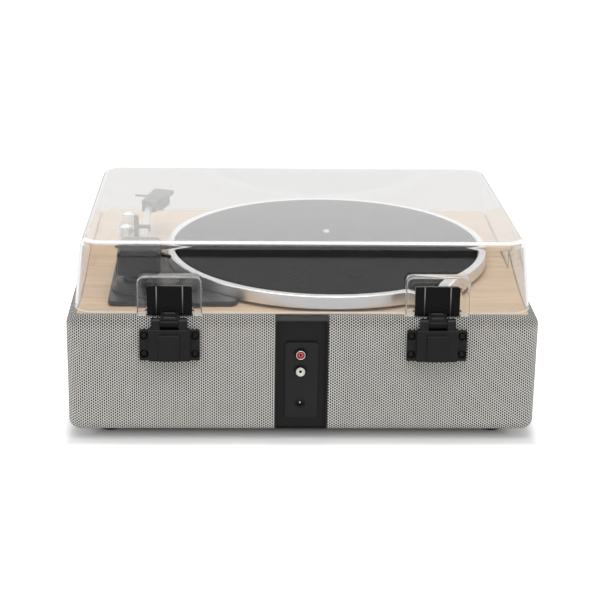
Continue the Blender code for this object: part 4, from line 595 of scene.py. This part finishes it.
axis_place = (-0.027, -0.00625)
platter_radius, rim_low, rim_top, mat_top = 0.1544, 0.1214, 0.1310, 0.1340
aluminium, place = new_finish("turned_aluminium", {"Base Color": (0.78, 0.78, 0.79, 1), "Metallic": 1.0})
marks = ringed(place, axis_place, 0.0006)
feed(aluminium, {"Roughness": marks * 0.10 + place.noise(25, 2) * 0.06 + 0.20,
                 "Normal": marks.bump(0.000006, 0.5)})
web = rim_top - 0.0032
edge_top = rim_top + 0.0026
outer_round, lower_round, bore = 0.0014, 0.0008, 0.0033
section = [(bore, rim_top), (0.1468, rim_top), (0.1471, edge_top - 0.0008), (0.1476, edge_top - 0.0002)]
section += [(0.1484, edge_top)]
section += sweep_of((platter_radius - outer_round, edge_top - outer_round), outer_round, 90, 0, 6)
section += [(platter_radius, rim_low + 0.0012)]
section += sweep_of((platter_radius - lower_round, rim_low + lower_round), lower_round, 0, -90, 3)
section += [(0.1504, rim_low), (0.1504, web), (0.080, web), (0.080, web - 0.005), (0.0775, web - 0.005),
            (0.0775, web), (0.016, web), (0.016, web - 0.005), (bore, web - 0.005)]
piece("turned_platter", lathe(section, (*axis_place, 0), steps=192), aluminium, "platter",
      ("platter",))


# ---- Slip mat
# Pressed black felt, three millimetres thick, laid loose on the platter inside its bright rim.
felt, place = new_finish("mat_felt", {"Specular IOR Level": 0.06})
nap = place.noise(1700, 4, 0.7)
feed(felt, {"Base Color": nap.between((0.004, 0.0036, 0.0037, 1), (0.008, 0.0072, 0.0074, 1)),
            "Roughness": nap * 0.2 + 0.7, "Normal": nap.bump(0.00001, 0.15)})
mat_radius, mat_hole, mat_low, mat_round = 0.1465, 0.0040, rim_top + 0.0003, 0.0007
section = [(mat_hole, mat_low), (mat_radius - 0.0003, mat_low), (mat_radius, mat_low + 0.0003)]
section += sweep_of((mat_radius - mat_round, mat_top - mat_round), mat_round, 0, 90, 3)
section += [(mat_hole + 0.0004, mat_top), (mat_hole, mat_top - 0.0004)]
piece("felt_mat", lathe(section, (*axis_place, 0), steps=192), felt, "platter", ("slip_mat",))


# ---- Spindle, bearing, motor and pulley
# A ground steel spindle with a rounded tip turns in a brass bearing; the pulley is brass too.
ground, place = new_finish("ground_steel", {"Base Color": (0.40, 0.40, 0.41, 1), "Metallic": 1.0})
feed(ground, {"Roughness": place.spaced((1, 1, 8)).noise(400, 2) * 0.15 + 0.12})
section = [(0, 0.0984), (0.003, 0.0984), (0.003, mat_low), (0.00355, mat_low), (0.00355, 0.1436)]
section += [(0.0033, 0.1448), (0.0026, 0.1457), (0.0014, 0.1463), (0, 0.1464)]
piece("ground_spindle", lathe(section, (*axis_place, 0), steps=40), ground, "platter",
      ("spindle",))
brass, place = new_finish("turned_brass", {"Metallic": 1.0})
feed(brass, {"Base Color": place.noise(90, 3).between((0.72, 0.50, 0.20, 1), (0.86, 0.66, 0.32, 1)),
             "Roughness": place.spaced((1, 1, 12)).noise(300, 2) * 0.2 + 0.2})
dress(brass, "bearing_well", "motor_pulley")


# ---- Knobs
# Two zinc castings, fluted and chromed, with a dish in the top whose chrome is painted darker, a painted
# dim reflection; each is pressed on its control's shaft.
knob_x, knob_radius, knob_top, knob_low = 0.1696, 0.0085, 0.1367, 0.1187
shaft_radius, skirt_radius, shoulder, dish = 0.0041, 0.0078, 0.0012, 0.0009
flutes, flute_steps = 40, 4
chrome, place = new_finish("knob_chrome", {"Metallic": 1.0})
# Painted dim reflection: the chrome's colour is darker on the top dish, so that it reflects less there.
painted_dim_top = place.axis(2).step(knob_top - 0.0008, knob_top - 0.0003)
feed(chrome, {"Base Color": painted_dim_top.between((0.86, 0.86, 0.87, 1), (0.40, 0.40, 0.40, 1)),
              "Roughness": place.noise(900, 2) * 0.08 + 0.06, "Normal": place.noise(350, 2).bump(0.00002)})
for name, y in (("volume", -0.08925), ("selector", -0.04625)):
    section = [(shaft_radius, knob_low), (skirt_radius, knob_low), (skirt_radius, knob_low + 0.0014),
               (knob_radius, knob_low + 0.0020), (knob_radius, knob_top - 0.0014)]
    section += sweep_of((knob_radius - shoulder, knob_top - shoulder), shoulder, 0, 90, 4)
    section += [(0.0060, knob_top), (0.0054, knob_top - 0.0006), (0.0015, knob_top - dish), (0, knob_top - dish),
                (0, knob_low + 0.0026), (shaft_radius, knob_low + 0.0026)]
    knob = lathe(section, (0, 0, 0), steps=flutes * flute_steps)
    for vert in knob.verts:
        share = round(math.atan2(vert.co.y, vert.co.x) / math.tau * flutes * flute_steps) % flute_steps
        if vert.co.xy.length > knob_radius - 0.0002 and share:
            vert.co.xy *= 1 - (0.045 if share == 2 else 0.034)
    bmesh.ops.translate(knob, verts=knob.verts, vec=(knob_x, y, 0))
    piece(name + "_knob_cap", knob, chrome, name + "_knob", (name + "_knob",), 28)


# ---- Tonearm base
# One moulding of satin black ABS: a plate that follows the platter, and the round foot of the arm.
pivot = Vector((0.1475, 0.09475, 0.1494))
plate_low, plate_top, pedestal_top = 0.1187, 0.1234, 0.1329


def arm_plate():
    """The plate, its inner side swept round the platter's axis."""
    bm = bmesh.new()
    radius, begin, end = 0.1560, math.radians(57.1), math.radians(-1.43)
    side_x, front_y, rear_y = 0.1745, -0.01025, 0.13375
    first = bm.verts.new((axis_place[0] + radius * math.cos(begin), axis_place[1] + radius * math.sin(begin),
                          plate_low))
    bmesh.ops.spin(bm, geom=[first], cent=(*axis_place, 0), axis=(0, 0, 1), angle=end - begin, steps=32)
    last = min(bm.verts, key=lambda v: v.co.y)
    sharp = [bm.verts.new((x, y, plate_low))
             for x, y in ((side_x, front_y), (side_x, rear_y), (0.0635, rear_y), (0.060, 0.1310))]
    chain = [last] + sharp + [first]
    for pair in zip(chain, chain[1:]):
        bm.edges.new(pair)
    bmesh.ops.contextual_create(bm, geom=bm.edges[:])
    bmesh.ops.bevel(bm, geom=sharp[:2], offset=0.006, segments=6, profile=0.5, affect="VERTICES", material=-1)
    return pushed_out(bm, bm.faces[:], (0, 0, plate_top - plate_low))


pedestal = [(0, 0.1210), (0.0257, 0.1210), (0.0257, plate_top + 0.0014)]
pedestal += sweep_of((0.0251, plate_top + 0.0014), 0.0006, 0, 90, 3)
pedestal += [(0.0235, plate_top + 0.0020), (0.0229, plate_top + 0.0028), (0.0219, pedestal_top - 0.0014)]
pedestal += sweep_of((0.0205, pedestal_top - 0.0014), 0.0014, 4, 90, 4) + [(0, pedestal_top)]
cheeks = [block((x - 0.0008, 0.04725, 0.1220), (x + 0.0008, 0.05425, 0.1316), 0.0007, 1, 0.0, 3)
          for x in (0.1666, 0.1714)]
base = gathered(arm_plate(), lathe(pedestal, (pivot.x, pivot.y, 0), steps=96), *cheeks)
soften(piece("arm_plinth", base, satin, "plinth", ("arm_base",)), 0.0007, 3, 50)
dress(black, "speed_switch", "arm_rest", "arm_clip", "cue_bar", "cue_lever")


# ---- Tonearm
# The yoke turns in the foot and carries a moulded housing on two pins; the tube is drawn aluminium.
disc = [(0, 0.1188), (0.004, 0.1188), (0.004, pedestal_top + 0.0003), (0.0142, pedestal_top + 0.0003),
        (0.015, pedestal_top + 0.0011), (0.015, 0.1356)]
disc += sweep_of((0.0138, 0.1356), 0.0012, 0, 90, 3) + [(0, 0.1368)]
neck_x, neck_y, trunnion_radius, trunnion_reach = 0.007, 0.0055, 0.0025, 0.0185
neck = block((pivot.x - neck_x, pivot.y - neck_y, 0.1350), (pivot.x + neck_x, pivot.y + neck_y, 0.1539),
             0.0012, 2, 0.0006, 3)
trunnions = pipe(0, trunnion_radius, -trunnion_reach, trunnion_reach, pivot, "X", 24)
swivel = gathered(lathe(disc, (pivot.x, pivot.y, 0)), neck, trunnions)
piece("arm_swivel", swivel, satin, "yoke", ("arm_yoke",))

hood_half, hood_rear, hood_front = 0.01925, 0.11825, 0.07525
hood_low, hood_top = 0.1424, 0.1644
hood = block((pivot.x - hood_half, hood_front, hood_low), (pivot.x + hood_half, hood_rear, hood_top), 0.004, 2)
round_over(hood, lying_at(hood, 2, hood_top), 0.0034, 1)
bmesh.ops.delete(hood, geom=[f for f in hood.faces if f.normal.z < -0.9], context="FACES")
made = piece("arm_hood", hood, satin, "arm", ("arm_housing",), 30)
walled(made, 0.0022)
soften(made, 0.0004, 2, 30)
zinc, place = new_finish("cast_zinc", {"Metallic": 1.0})
feed(zinc, {"Base Color": place.noise(140, 4).between((0.38, 0.38, 0.39, 1), (0.55, 0.55, 0.56, 1)),
            "Roughness": place.noise(500, 3) * 0.25 + 0.3})
dress(zinc, "counterweight")

silver, place = new_finish("silvered_tube", {"Base Color": (0.60, 0.60, 0.60, 1), "Metallic": 0.85})
feed(silver, {"Roughness": place.spaced((6, 1, 6)).noise(300, 2) * 0.12 + 0.24})
drawn = pipe(0.0027, 0.0035, -0.158, -0.0105, pivot, "Y", 48)
piece("arm_tube_drawn", drawn, silver, "arm", ("arm_tube",))

neck_place = Vector((pivot.x, -0.06325, pivot.z))
lean = Matrix.Translation(neck_place) @ Matrix.Rotation(math.radians(-17.5), 4, "Z")
head_half, head_length, head_top, head_depth = 0.0110, 0.0465, 0.0076, 0.0036
shell = cube((-head_half, -head_length, head_top - head_depth), (head_half, 0, head_top))
cut_at(shell, 1, -0.0445)
for vert in shell.verts:
    if vert.co.y > -0.001:
        vert.co.x *= 0.67
    elif vert.co.y < -0.046:
        vert.co.x *= 0.86
bmesh.ops.delete(shell, geom=[f for f in shell.faces if f.normal.z < -0.9], context="FACES")
bmesh.ops.transform(shell, matrix=lean, verts=shell.verts)
made = piece("arm_head", shell, black, "arm", ("headshell",), 30)
walled(made, 0.0016)
soften(made, 0.0007, 3, 30)
collar = lathe([(0.0036, -0.004)] + sweep_of((0.0039, -0.0032), 0.0008, -90, 0, 3) + [(0.0047, 0.0017)]
               + sweep_of((0.0039, 0.0017), 0.0008, 0, 90, 3) + [(0.0036, 0.0025)], neck_place, "Y", 40)
piece("head_collar", collar, black, "arm")
lift = block((0.0090, -0.0254, 0.0050), (0.0222, -0.0210, 0.0064), 0.0006, 0, 0.0, 3)
ridges = [block((-0.0058, y - 0.0005, head_top - 0.0002), (0.0058, y + 0.0005, head_top + 0.0005),
                0.0003, 0, 0.0, 2)
          for y in (-0.0105, -0.0155, -0.0205)]
neck_block = block((-0.0071, -0.0118, -0.0036), (0.0071, -0.0002, head_top - 0.0012), 0.0010, 1, 0.0006, 3)
bars = gathered(lift, neck_block, *ridges)
bmesh.ops.transform(bars, matrix=lean, verts=bars.verts)
piece("finger_lift", bars, black, "arm")

body = block((-0.00825, -0.0400, -0.0054), (0.00825, -0.014, 0.0056), 0.001, 2)
guard = block((-0.0040, -0.0430, -0.0090), (0.0040, -0.030, -0.0030), 0.0012, 0, 0.0, 3)
needle = cube((-0.0006, -0.0418, -0.0136), (0.0006, -0.0406, -0.0080))
pickup = gathered(body, guard, needle)
bmesh.ops.transform(pickup, matrix=lean, verts=pickup.verts)
piece("pickup", pickup, satin, "arm", ("cartridge",))


# ---- Clear lid
# Injection-moulded clear acrylic, drafted towards its top, which falls to the front; polished all over, with
# the lower edge matt and tinted cream, a painted highlight for the bright line along it. A ray that has been
# reflected four times or more comes back white, for the light piped to the edges. To shadow and diffuse
# rays the lid is a clear film.
lid_half, lid_front, lid_rear = 0.2037, front + 0.0066, rear - 0.0087
lid_low, lid_top, roof_fall, lid_wall = 0.1194, 0.1831, 0.0147, 0.0022
side_draft, end_draft = 0.0066 / (lid_top - box_top), 0.0045 / (lid_top - box_top)
clear, place = new_finish("clear_acrylic", {"Base Color": (0.99, 0.985, 0.98, 1), "Roughness": 0.0,
                                            "Transmission Weight": 1.0, "IOR": 1.49})
tree = clear.node_tree
diffuse_ray = place.node("LightPath", {}, "Is Diffuse Ray")
lamp_rays = place.node("LightPath", {}, "Is Shadow Ray").math("MAXIMUM", diffuse_ray)
film = place.node("BsdfTransparent", {"Color": (0.96, 0.965, 0.965, 1)})
piped = place.node("LightPath", {}, "Glossy Depth").math("GREATER_THAN", 3.5)
glow_within = place.node("Emission", {"Color": (1, 1, 1, 1), "Strength": 1.0})
polished = place.node("MixShader", {0: piped, 1: Wire(tree.nodes["Principled BSDF"].outputs[0]), 2: glow_within})
matt = place.node("BsdfDiffuse", {"Color": (0.93, 0.90, 0.86, 1)})
# Painted highlight: the cream matt band along the lower edge stands for the bright line of light there.
edge_highlight_share = place.axis(2).step(lid_low + 0.0013, lid_low + 0.0008) * 0.7
surface = place.node("MixShader", {0: edge_highlight_share, 1: polished, 2: matt})
tree.links.new(place.node("MixShader", {0: lamp_rays, 1: surface, 2: film}).socket,
               tree.nodes["Material Output"].inputs["Surface"])


def lid_shell(inset, corner_radius, edge_radius):
    """The lid's outer or inner face: drafted walls, a top that falls to the front, rounded corners."""
    bm = cube((-lid_half + inset, lid_front + inset, lid_low),
              (lid_half - inset, lid_rear - inset, lid_top - inset))
    for vert in bm.verts:
        if vert.co.z > (lid_low + lid_top) / 2:
            vert.co.z -= roof_fall * (lid_rear - vert.co.y) / (lid_rear - lid_front)
            vert.co.x -= math.copysign(side_draft * (lid_top - lid_low), vert.co.x)
            vert.co.y -= math.copysign(end_draft * (lid_top - lid_low), vert.co.y - mid_y)
    upright = [e for e in bm.edges if abs(e.verts[0].co.z - e.verts[1].co.z) > 0.03]
    round_over(bm, upright, corner_radius, 10)
    roof = max(bm.faces, key=lambda face: face.calc_center_median().z)
    round_over(bm, list(roof.edges), edge_radius, 7)
    bmesh.ops.delete(bm, geom=[f for f in bm.faces if f.normal.z < -0.9], context="FACES")
    return bm


# The two faces' lower rims have as many corners each, and are joined in their order round the lid.
lid = gathered(lid_shell(0, 0.019, 0.0065), lid_shell(lid_wall, 0.0150, 0.0022))
rims = [v for v in lid.verts if v.is_boundary]
outer, inner = (sorted(half, key=lambda v: math.atan2(v.co.y - mid_y, v.co.x))
                for half in (rims[:len(rims) // 2], rims[len(rims) // 2:]))
for k in range(len(outer)):
    lid.faces.new((outer[k - 1], outer[k], inner[k], inner[k - 1]))
piece("lid_moulding", lid, clear, "lid", ("lid",), 40)


# ---- Hinge pockets
# Two open-bottomed boxes of the same acrylic, welded to the lid's rear wall, that the hinge leaves slide
# into. Their edges are set to glow less than the lid's, as in the photograph.
hinge_x = 0.1183
pocket_half, pocket_top, pocket_face = 0.0285, 0.1554, rear - 0.0012
window_half, window_top = 0.0206, 0.1470
thin = clear.copy()
thin.name = "clear_acrylic_thin"
next(n for n in thin.node_tree.nodes if n.type == "EMISSION").inputs["Strength"].default_value = 0.45
for name, x in (("left", -hinge_x), ("right", hinge_x)):
    pocket = cube((x - pocket_half, lid_rear - 0.004, lid_low), (x + pocket_half, pocket_face, pocket_top))
    round_over(pocket, [e for e in along(pocket, 1) if e.verts[0].co.z > lid_low + 0.01], 0.006, 6)
    face_edges = [e for e in lying_at(pocket, 1, pocket_face) if max(v.co.z for v in e.verts) > lid_low + merge]
    round_over(pocket, face_edges, 0.0002, 2)
    cut_at(pocket, 0, x - window_half, x + window_half)
    cut_at(pocket, 2, window_top)
    open_ends = [f for f in pocket.faces if f.normal.z < -0.9 or f.normal.y < -0.9
                 or (f.normal.y > 0.9 and abs(f.calc_center_median().x - x) < window_half
                     and f.calc_center_median().z < window_top)]
    bmesh.ops.delete(pocket, geom=open_ends, context="FACES")
    for vert in pocket.verts:
        if vert.co.y < lid_rear:
            vert.co.y = lid_rear - end_draft * (vert.co.z - lid_low) + 0.00005
    walled(piece("lid_pocket_" + name, pocket, thin, "lid", (), 40), 0.0011, even=True)


# ---- Hinges
# Glass-filled black nylon: a base screwed to the rear with four countersunk screws, its pin moulded in,
# and a leaf that turns stiffly on the pin and carries the lid by its tongue.
pin_y, pin_z, pin_radius, pin_reach = 0.16575, 0.1136, 0.0015, 0.0145
seat = rear + 0.0003
sheet_half, sheet_low, sheet_top = 0.02675, 0.0790, 0.1073
sheet_back, sheet_face, sheet_corner = seat + 0.0012, seat + 0.0034, 0.0012
screw_x, screw_z, screw_well = 0.0225, (0.0852, 0.1022), 0.0038
hinge_black = moulded("hinge_nylon", (0.006, 0.006, 0.0063), 0.38, 1900, 0.00001)
# Painted shade: the leaf's nylon is a darker, less shiny copy of the base's, so that its upturned faces read
# darker.
leaf_black_shaded = moulded("leaf_nylon_shaded", (0.0035, 0.0033, 0.0035), 0.38, 1900, 0.00001, 0.15)
# Painted highlight: the ribs and grips are grey nylon, lighter towards the top, for the light they catch.
rib_highlight, place = new_finish("nylon_painted_highlight", {"Roughness": 0.3})
rib_highlight_share = place.axis(2).step(0.1225, 0.1440)
feed(rib_highlight, {"Base Color": rib_highlight_share.between((0.03, 0.03, 0.03, 1), (0.32, 0.31, 0.30, 1))})
dark_steel, place = new_finish("black_oxide_screw", {"Metallic": 1.0})
feed(dark_steel, {"Base Color": place.noise(800, 3).between((0.010, 0.010, 0.010, 1), (0.04, 0.04, 0.04, 1)),
                  "Roughness": place.noise(400, 2) * 0.2 + 0.2})
leaf_half, leaf_low, leaf_top, leaf_front = 0.01985, 0.1188, 0.1462, 0.15375
leaf_face = leaf_front + 0.0034
knuckle_radius, knuckle_half = 0.0036, 0.0080
screw = [(0, -0.0085), (0.0014, -0.0085), (0.0014, 0.0014), (0.0031, 0.0016), (0.0031, 0.0022)]
screw += sweep_of((0.0019, 0.0020), 0.0012, 10, 80, 4) + [(0.0012, 0.0032), (0, 0.0032)]
count = 0
for name, x in (("left", -hinge_x), ("right", hinge_x)):
    wells = [(x + side * screw_x, z, screw_well) for side in (-1, 1) for z in screw_z]
    forms = [
        block((x - sheet_half, seat, sheet_low), (x + sheet_half, sheet_back, sheet_top), sheet_corner, 1),
        pierced_plate((x - sheet_half, sheet_low), (x + sheet_half, sheet_top), sheet_corner, wells,
                      sheet_back, sheet_face),
        block((x - 0.0183, sheet_back, 0.0796), (x + 0.0183, rear + 0.0085, 0.1090),
              0.0008, 1, 0.0010, 3, (False, True)),
        block((x - 0.0090, seat + 0.0030, 0.0800), (x + 0.0090, rear + 0.0105, 0.1045),
              0.0008, 1, 0.0010, 3, (False, True))]
    for side in (-1, 1):
        inner, outer = sorted((x + side * 0.0083, x + side * 0.01575))
        forms.append(block((inner, seat, 0.1050), (outer, rear + 0.0079, 0.1188), 0.0026, 0, 0.0004, 6))
    forms.append(pipe(0, pin_radius, -pin_reach, pin_reach, (x, pin_y, pin_z), "X", 24))
    made = piece("hinge_bracket_" + name, gathered(*forms), hinge_black, "plinth",
                 ("hinge_base_" + name,))
    soften(made, 0.0004, 2, 50)

    tongue = cube((x - leaf_half, leaf_front, leaf_low), (x + leaf_half, leaf_face, leaf_top))
    top_corners = [e for e in along(tongue, 1) if e.verts[0].co.z > (leaf_low + leaf_top) / 2]
    round_over(tongue, top_corners, 0.0030, 5)
    forms = [tongue]
    for number, side in ((1, -1), (2, 1)):
        rib_x = x + side * 0.0115
        rib = block((rib_x - 0.0005, leaf_face - 0.0005, 0.1196), (rib_x + 0.0005, leaf_face + 0.0010, 0.1456),
                    0.0003, 1, 0.0003, 2, (False, True))
        piece("leaf_rib_%s_%d" % (name, number), rib, rib_highlight, "lid")
        near, far = sorted((x + side * 0.0195, x + side * 0.0222))
        forms.append(block((near, leaf_front + 0.0008, 0.1226), (far, leaf_face - 0.0008, 0.1236),
                           0.0003, 0, 0.0, 2))
    arch = pipe(0.0072, 0.0088, leaf_face - 0.0006, leaf_face + 0.0009, (0, 0, 0), "Y", 48)
    bmesh.ops.scale(arch, verts=arch.verts, vec=(1.05, 1, 0.78))
    bmesh.ops.translate(arch, verts=arch.verts, vec=(x, 0, 0.1190))
    cut_at(arch, 2, 0.1189, drop_below=True)
    bmesh.ops.holes_fill(arch, edges=[e for e in arch.edges if e.is_boundary])
    forms.append(arch)
    for number, y, top in ((1, 0.1586, 0.1219), (2, 0.1632, 0.1194)):
        grip = block((x - 0.0050, y, top - 0.0024), (x + 0.0050, y + 0.0010, top), 0.0004, 0, 0.0, 3)
        piece("leaf_grip_%s_%d" % (name, number), grip, rib_highlight, "lid")
    forms.append(pipe(0.0018, knuckle_radius, -knuckle_half, knuckle_half, (x, pin_y, pin_z), "X", 40))
    outline = [(leaf_front + 0.0017, 0.1191), (pin_y - 0.0036, pin_z + 0.0012), (pin_y - 0.0010, pin_z + 0.0026),
               (pin_y, pin_z + knuckle_radius), (leaf_face, 0.1222), (leaf_front + 0.0017, 0.1222)]
    bridge = bmesh.new()
    side_face = bridge.faces.new([bridge.verts.new((x - knuckle_half, y, z)) for y, z in outline])
    forms.append(pushed_out(bridge, [side_face], (2 * knuckle_half, 0, 0)))
    made = piece("hinge_tongue_" + name, gathered(*forms), leaf_black_shaded, "lid",
                 ("hinge_leaf_" + name,))
    soften(made, 0.0003, 2, 50)

    for side in (-1, 1):
        for z in screw_z:
            count += 1
            turned = lathe(screw, (x + side * screw_x, rear, z), "Y", 32)
            piece("screw_%d" % count, turned, dark_steel, "plinth", ("hinge_screw_%d" % count,))


# ---- Shading
# Flat faces stay flat up to their rounded edges.
for made in pieces:
    made.modifiers.new("flat_faces", "WEIGHTED_NORMAL").keep_sharp = True
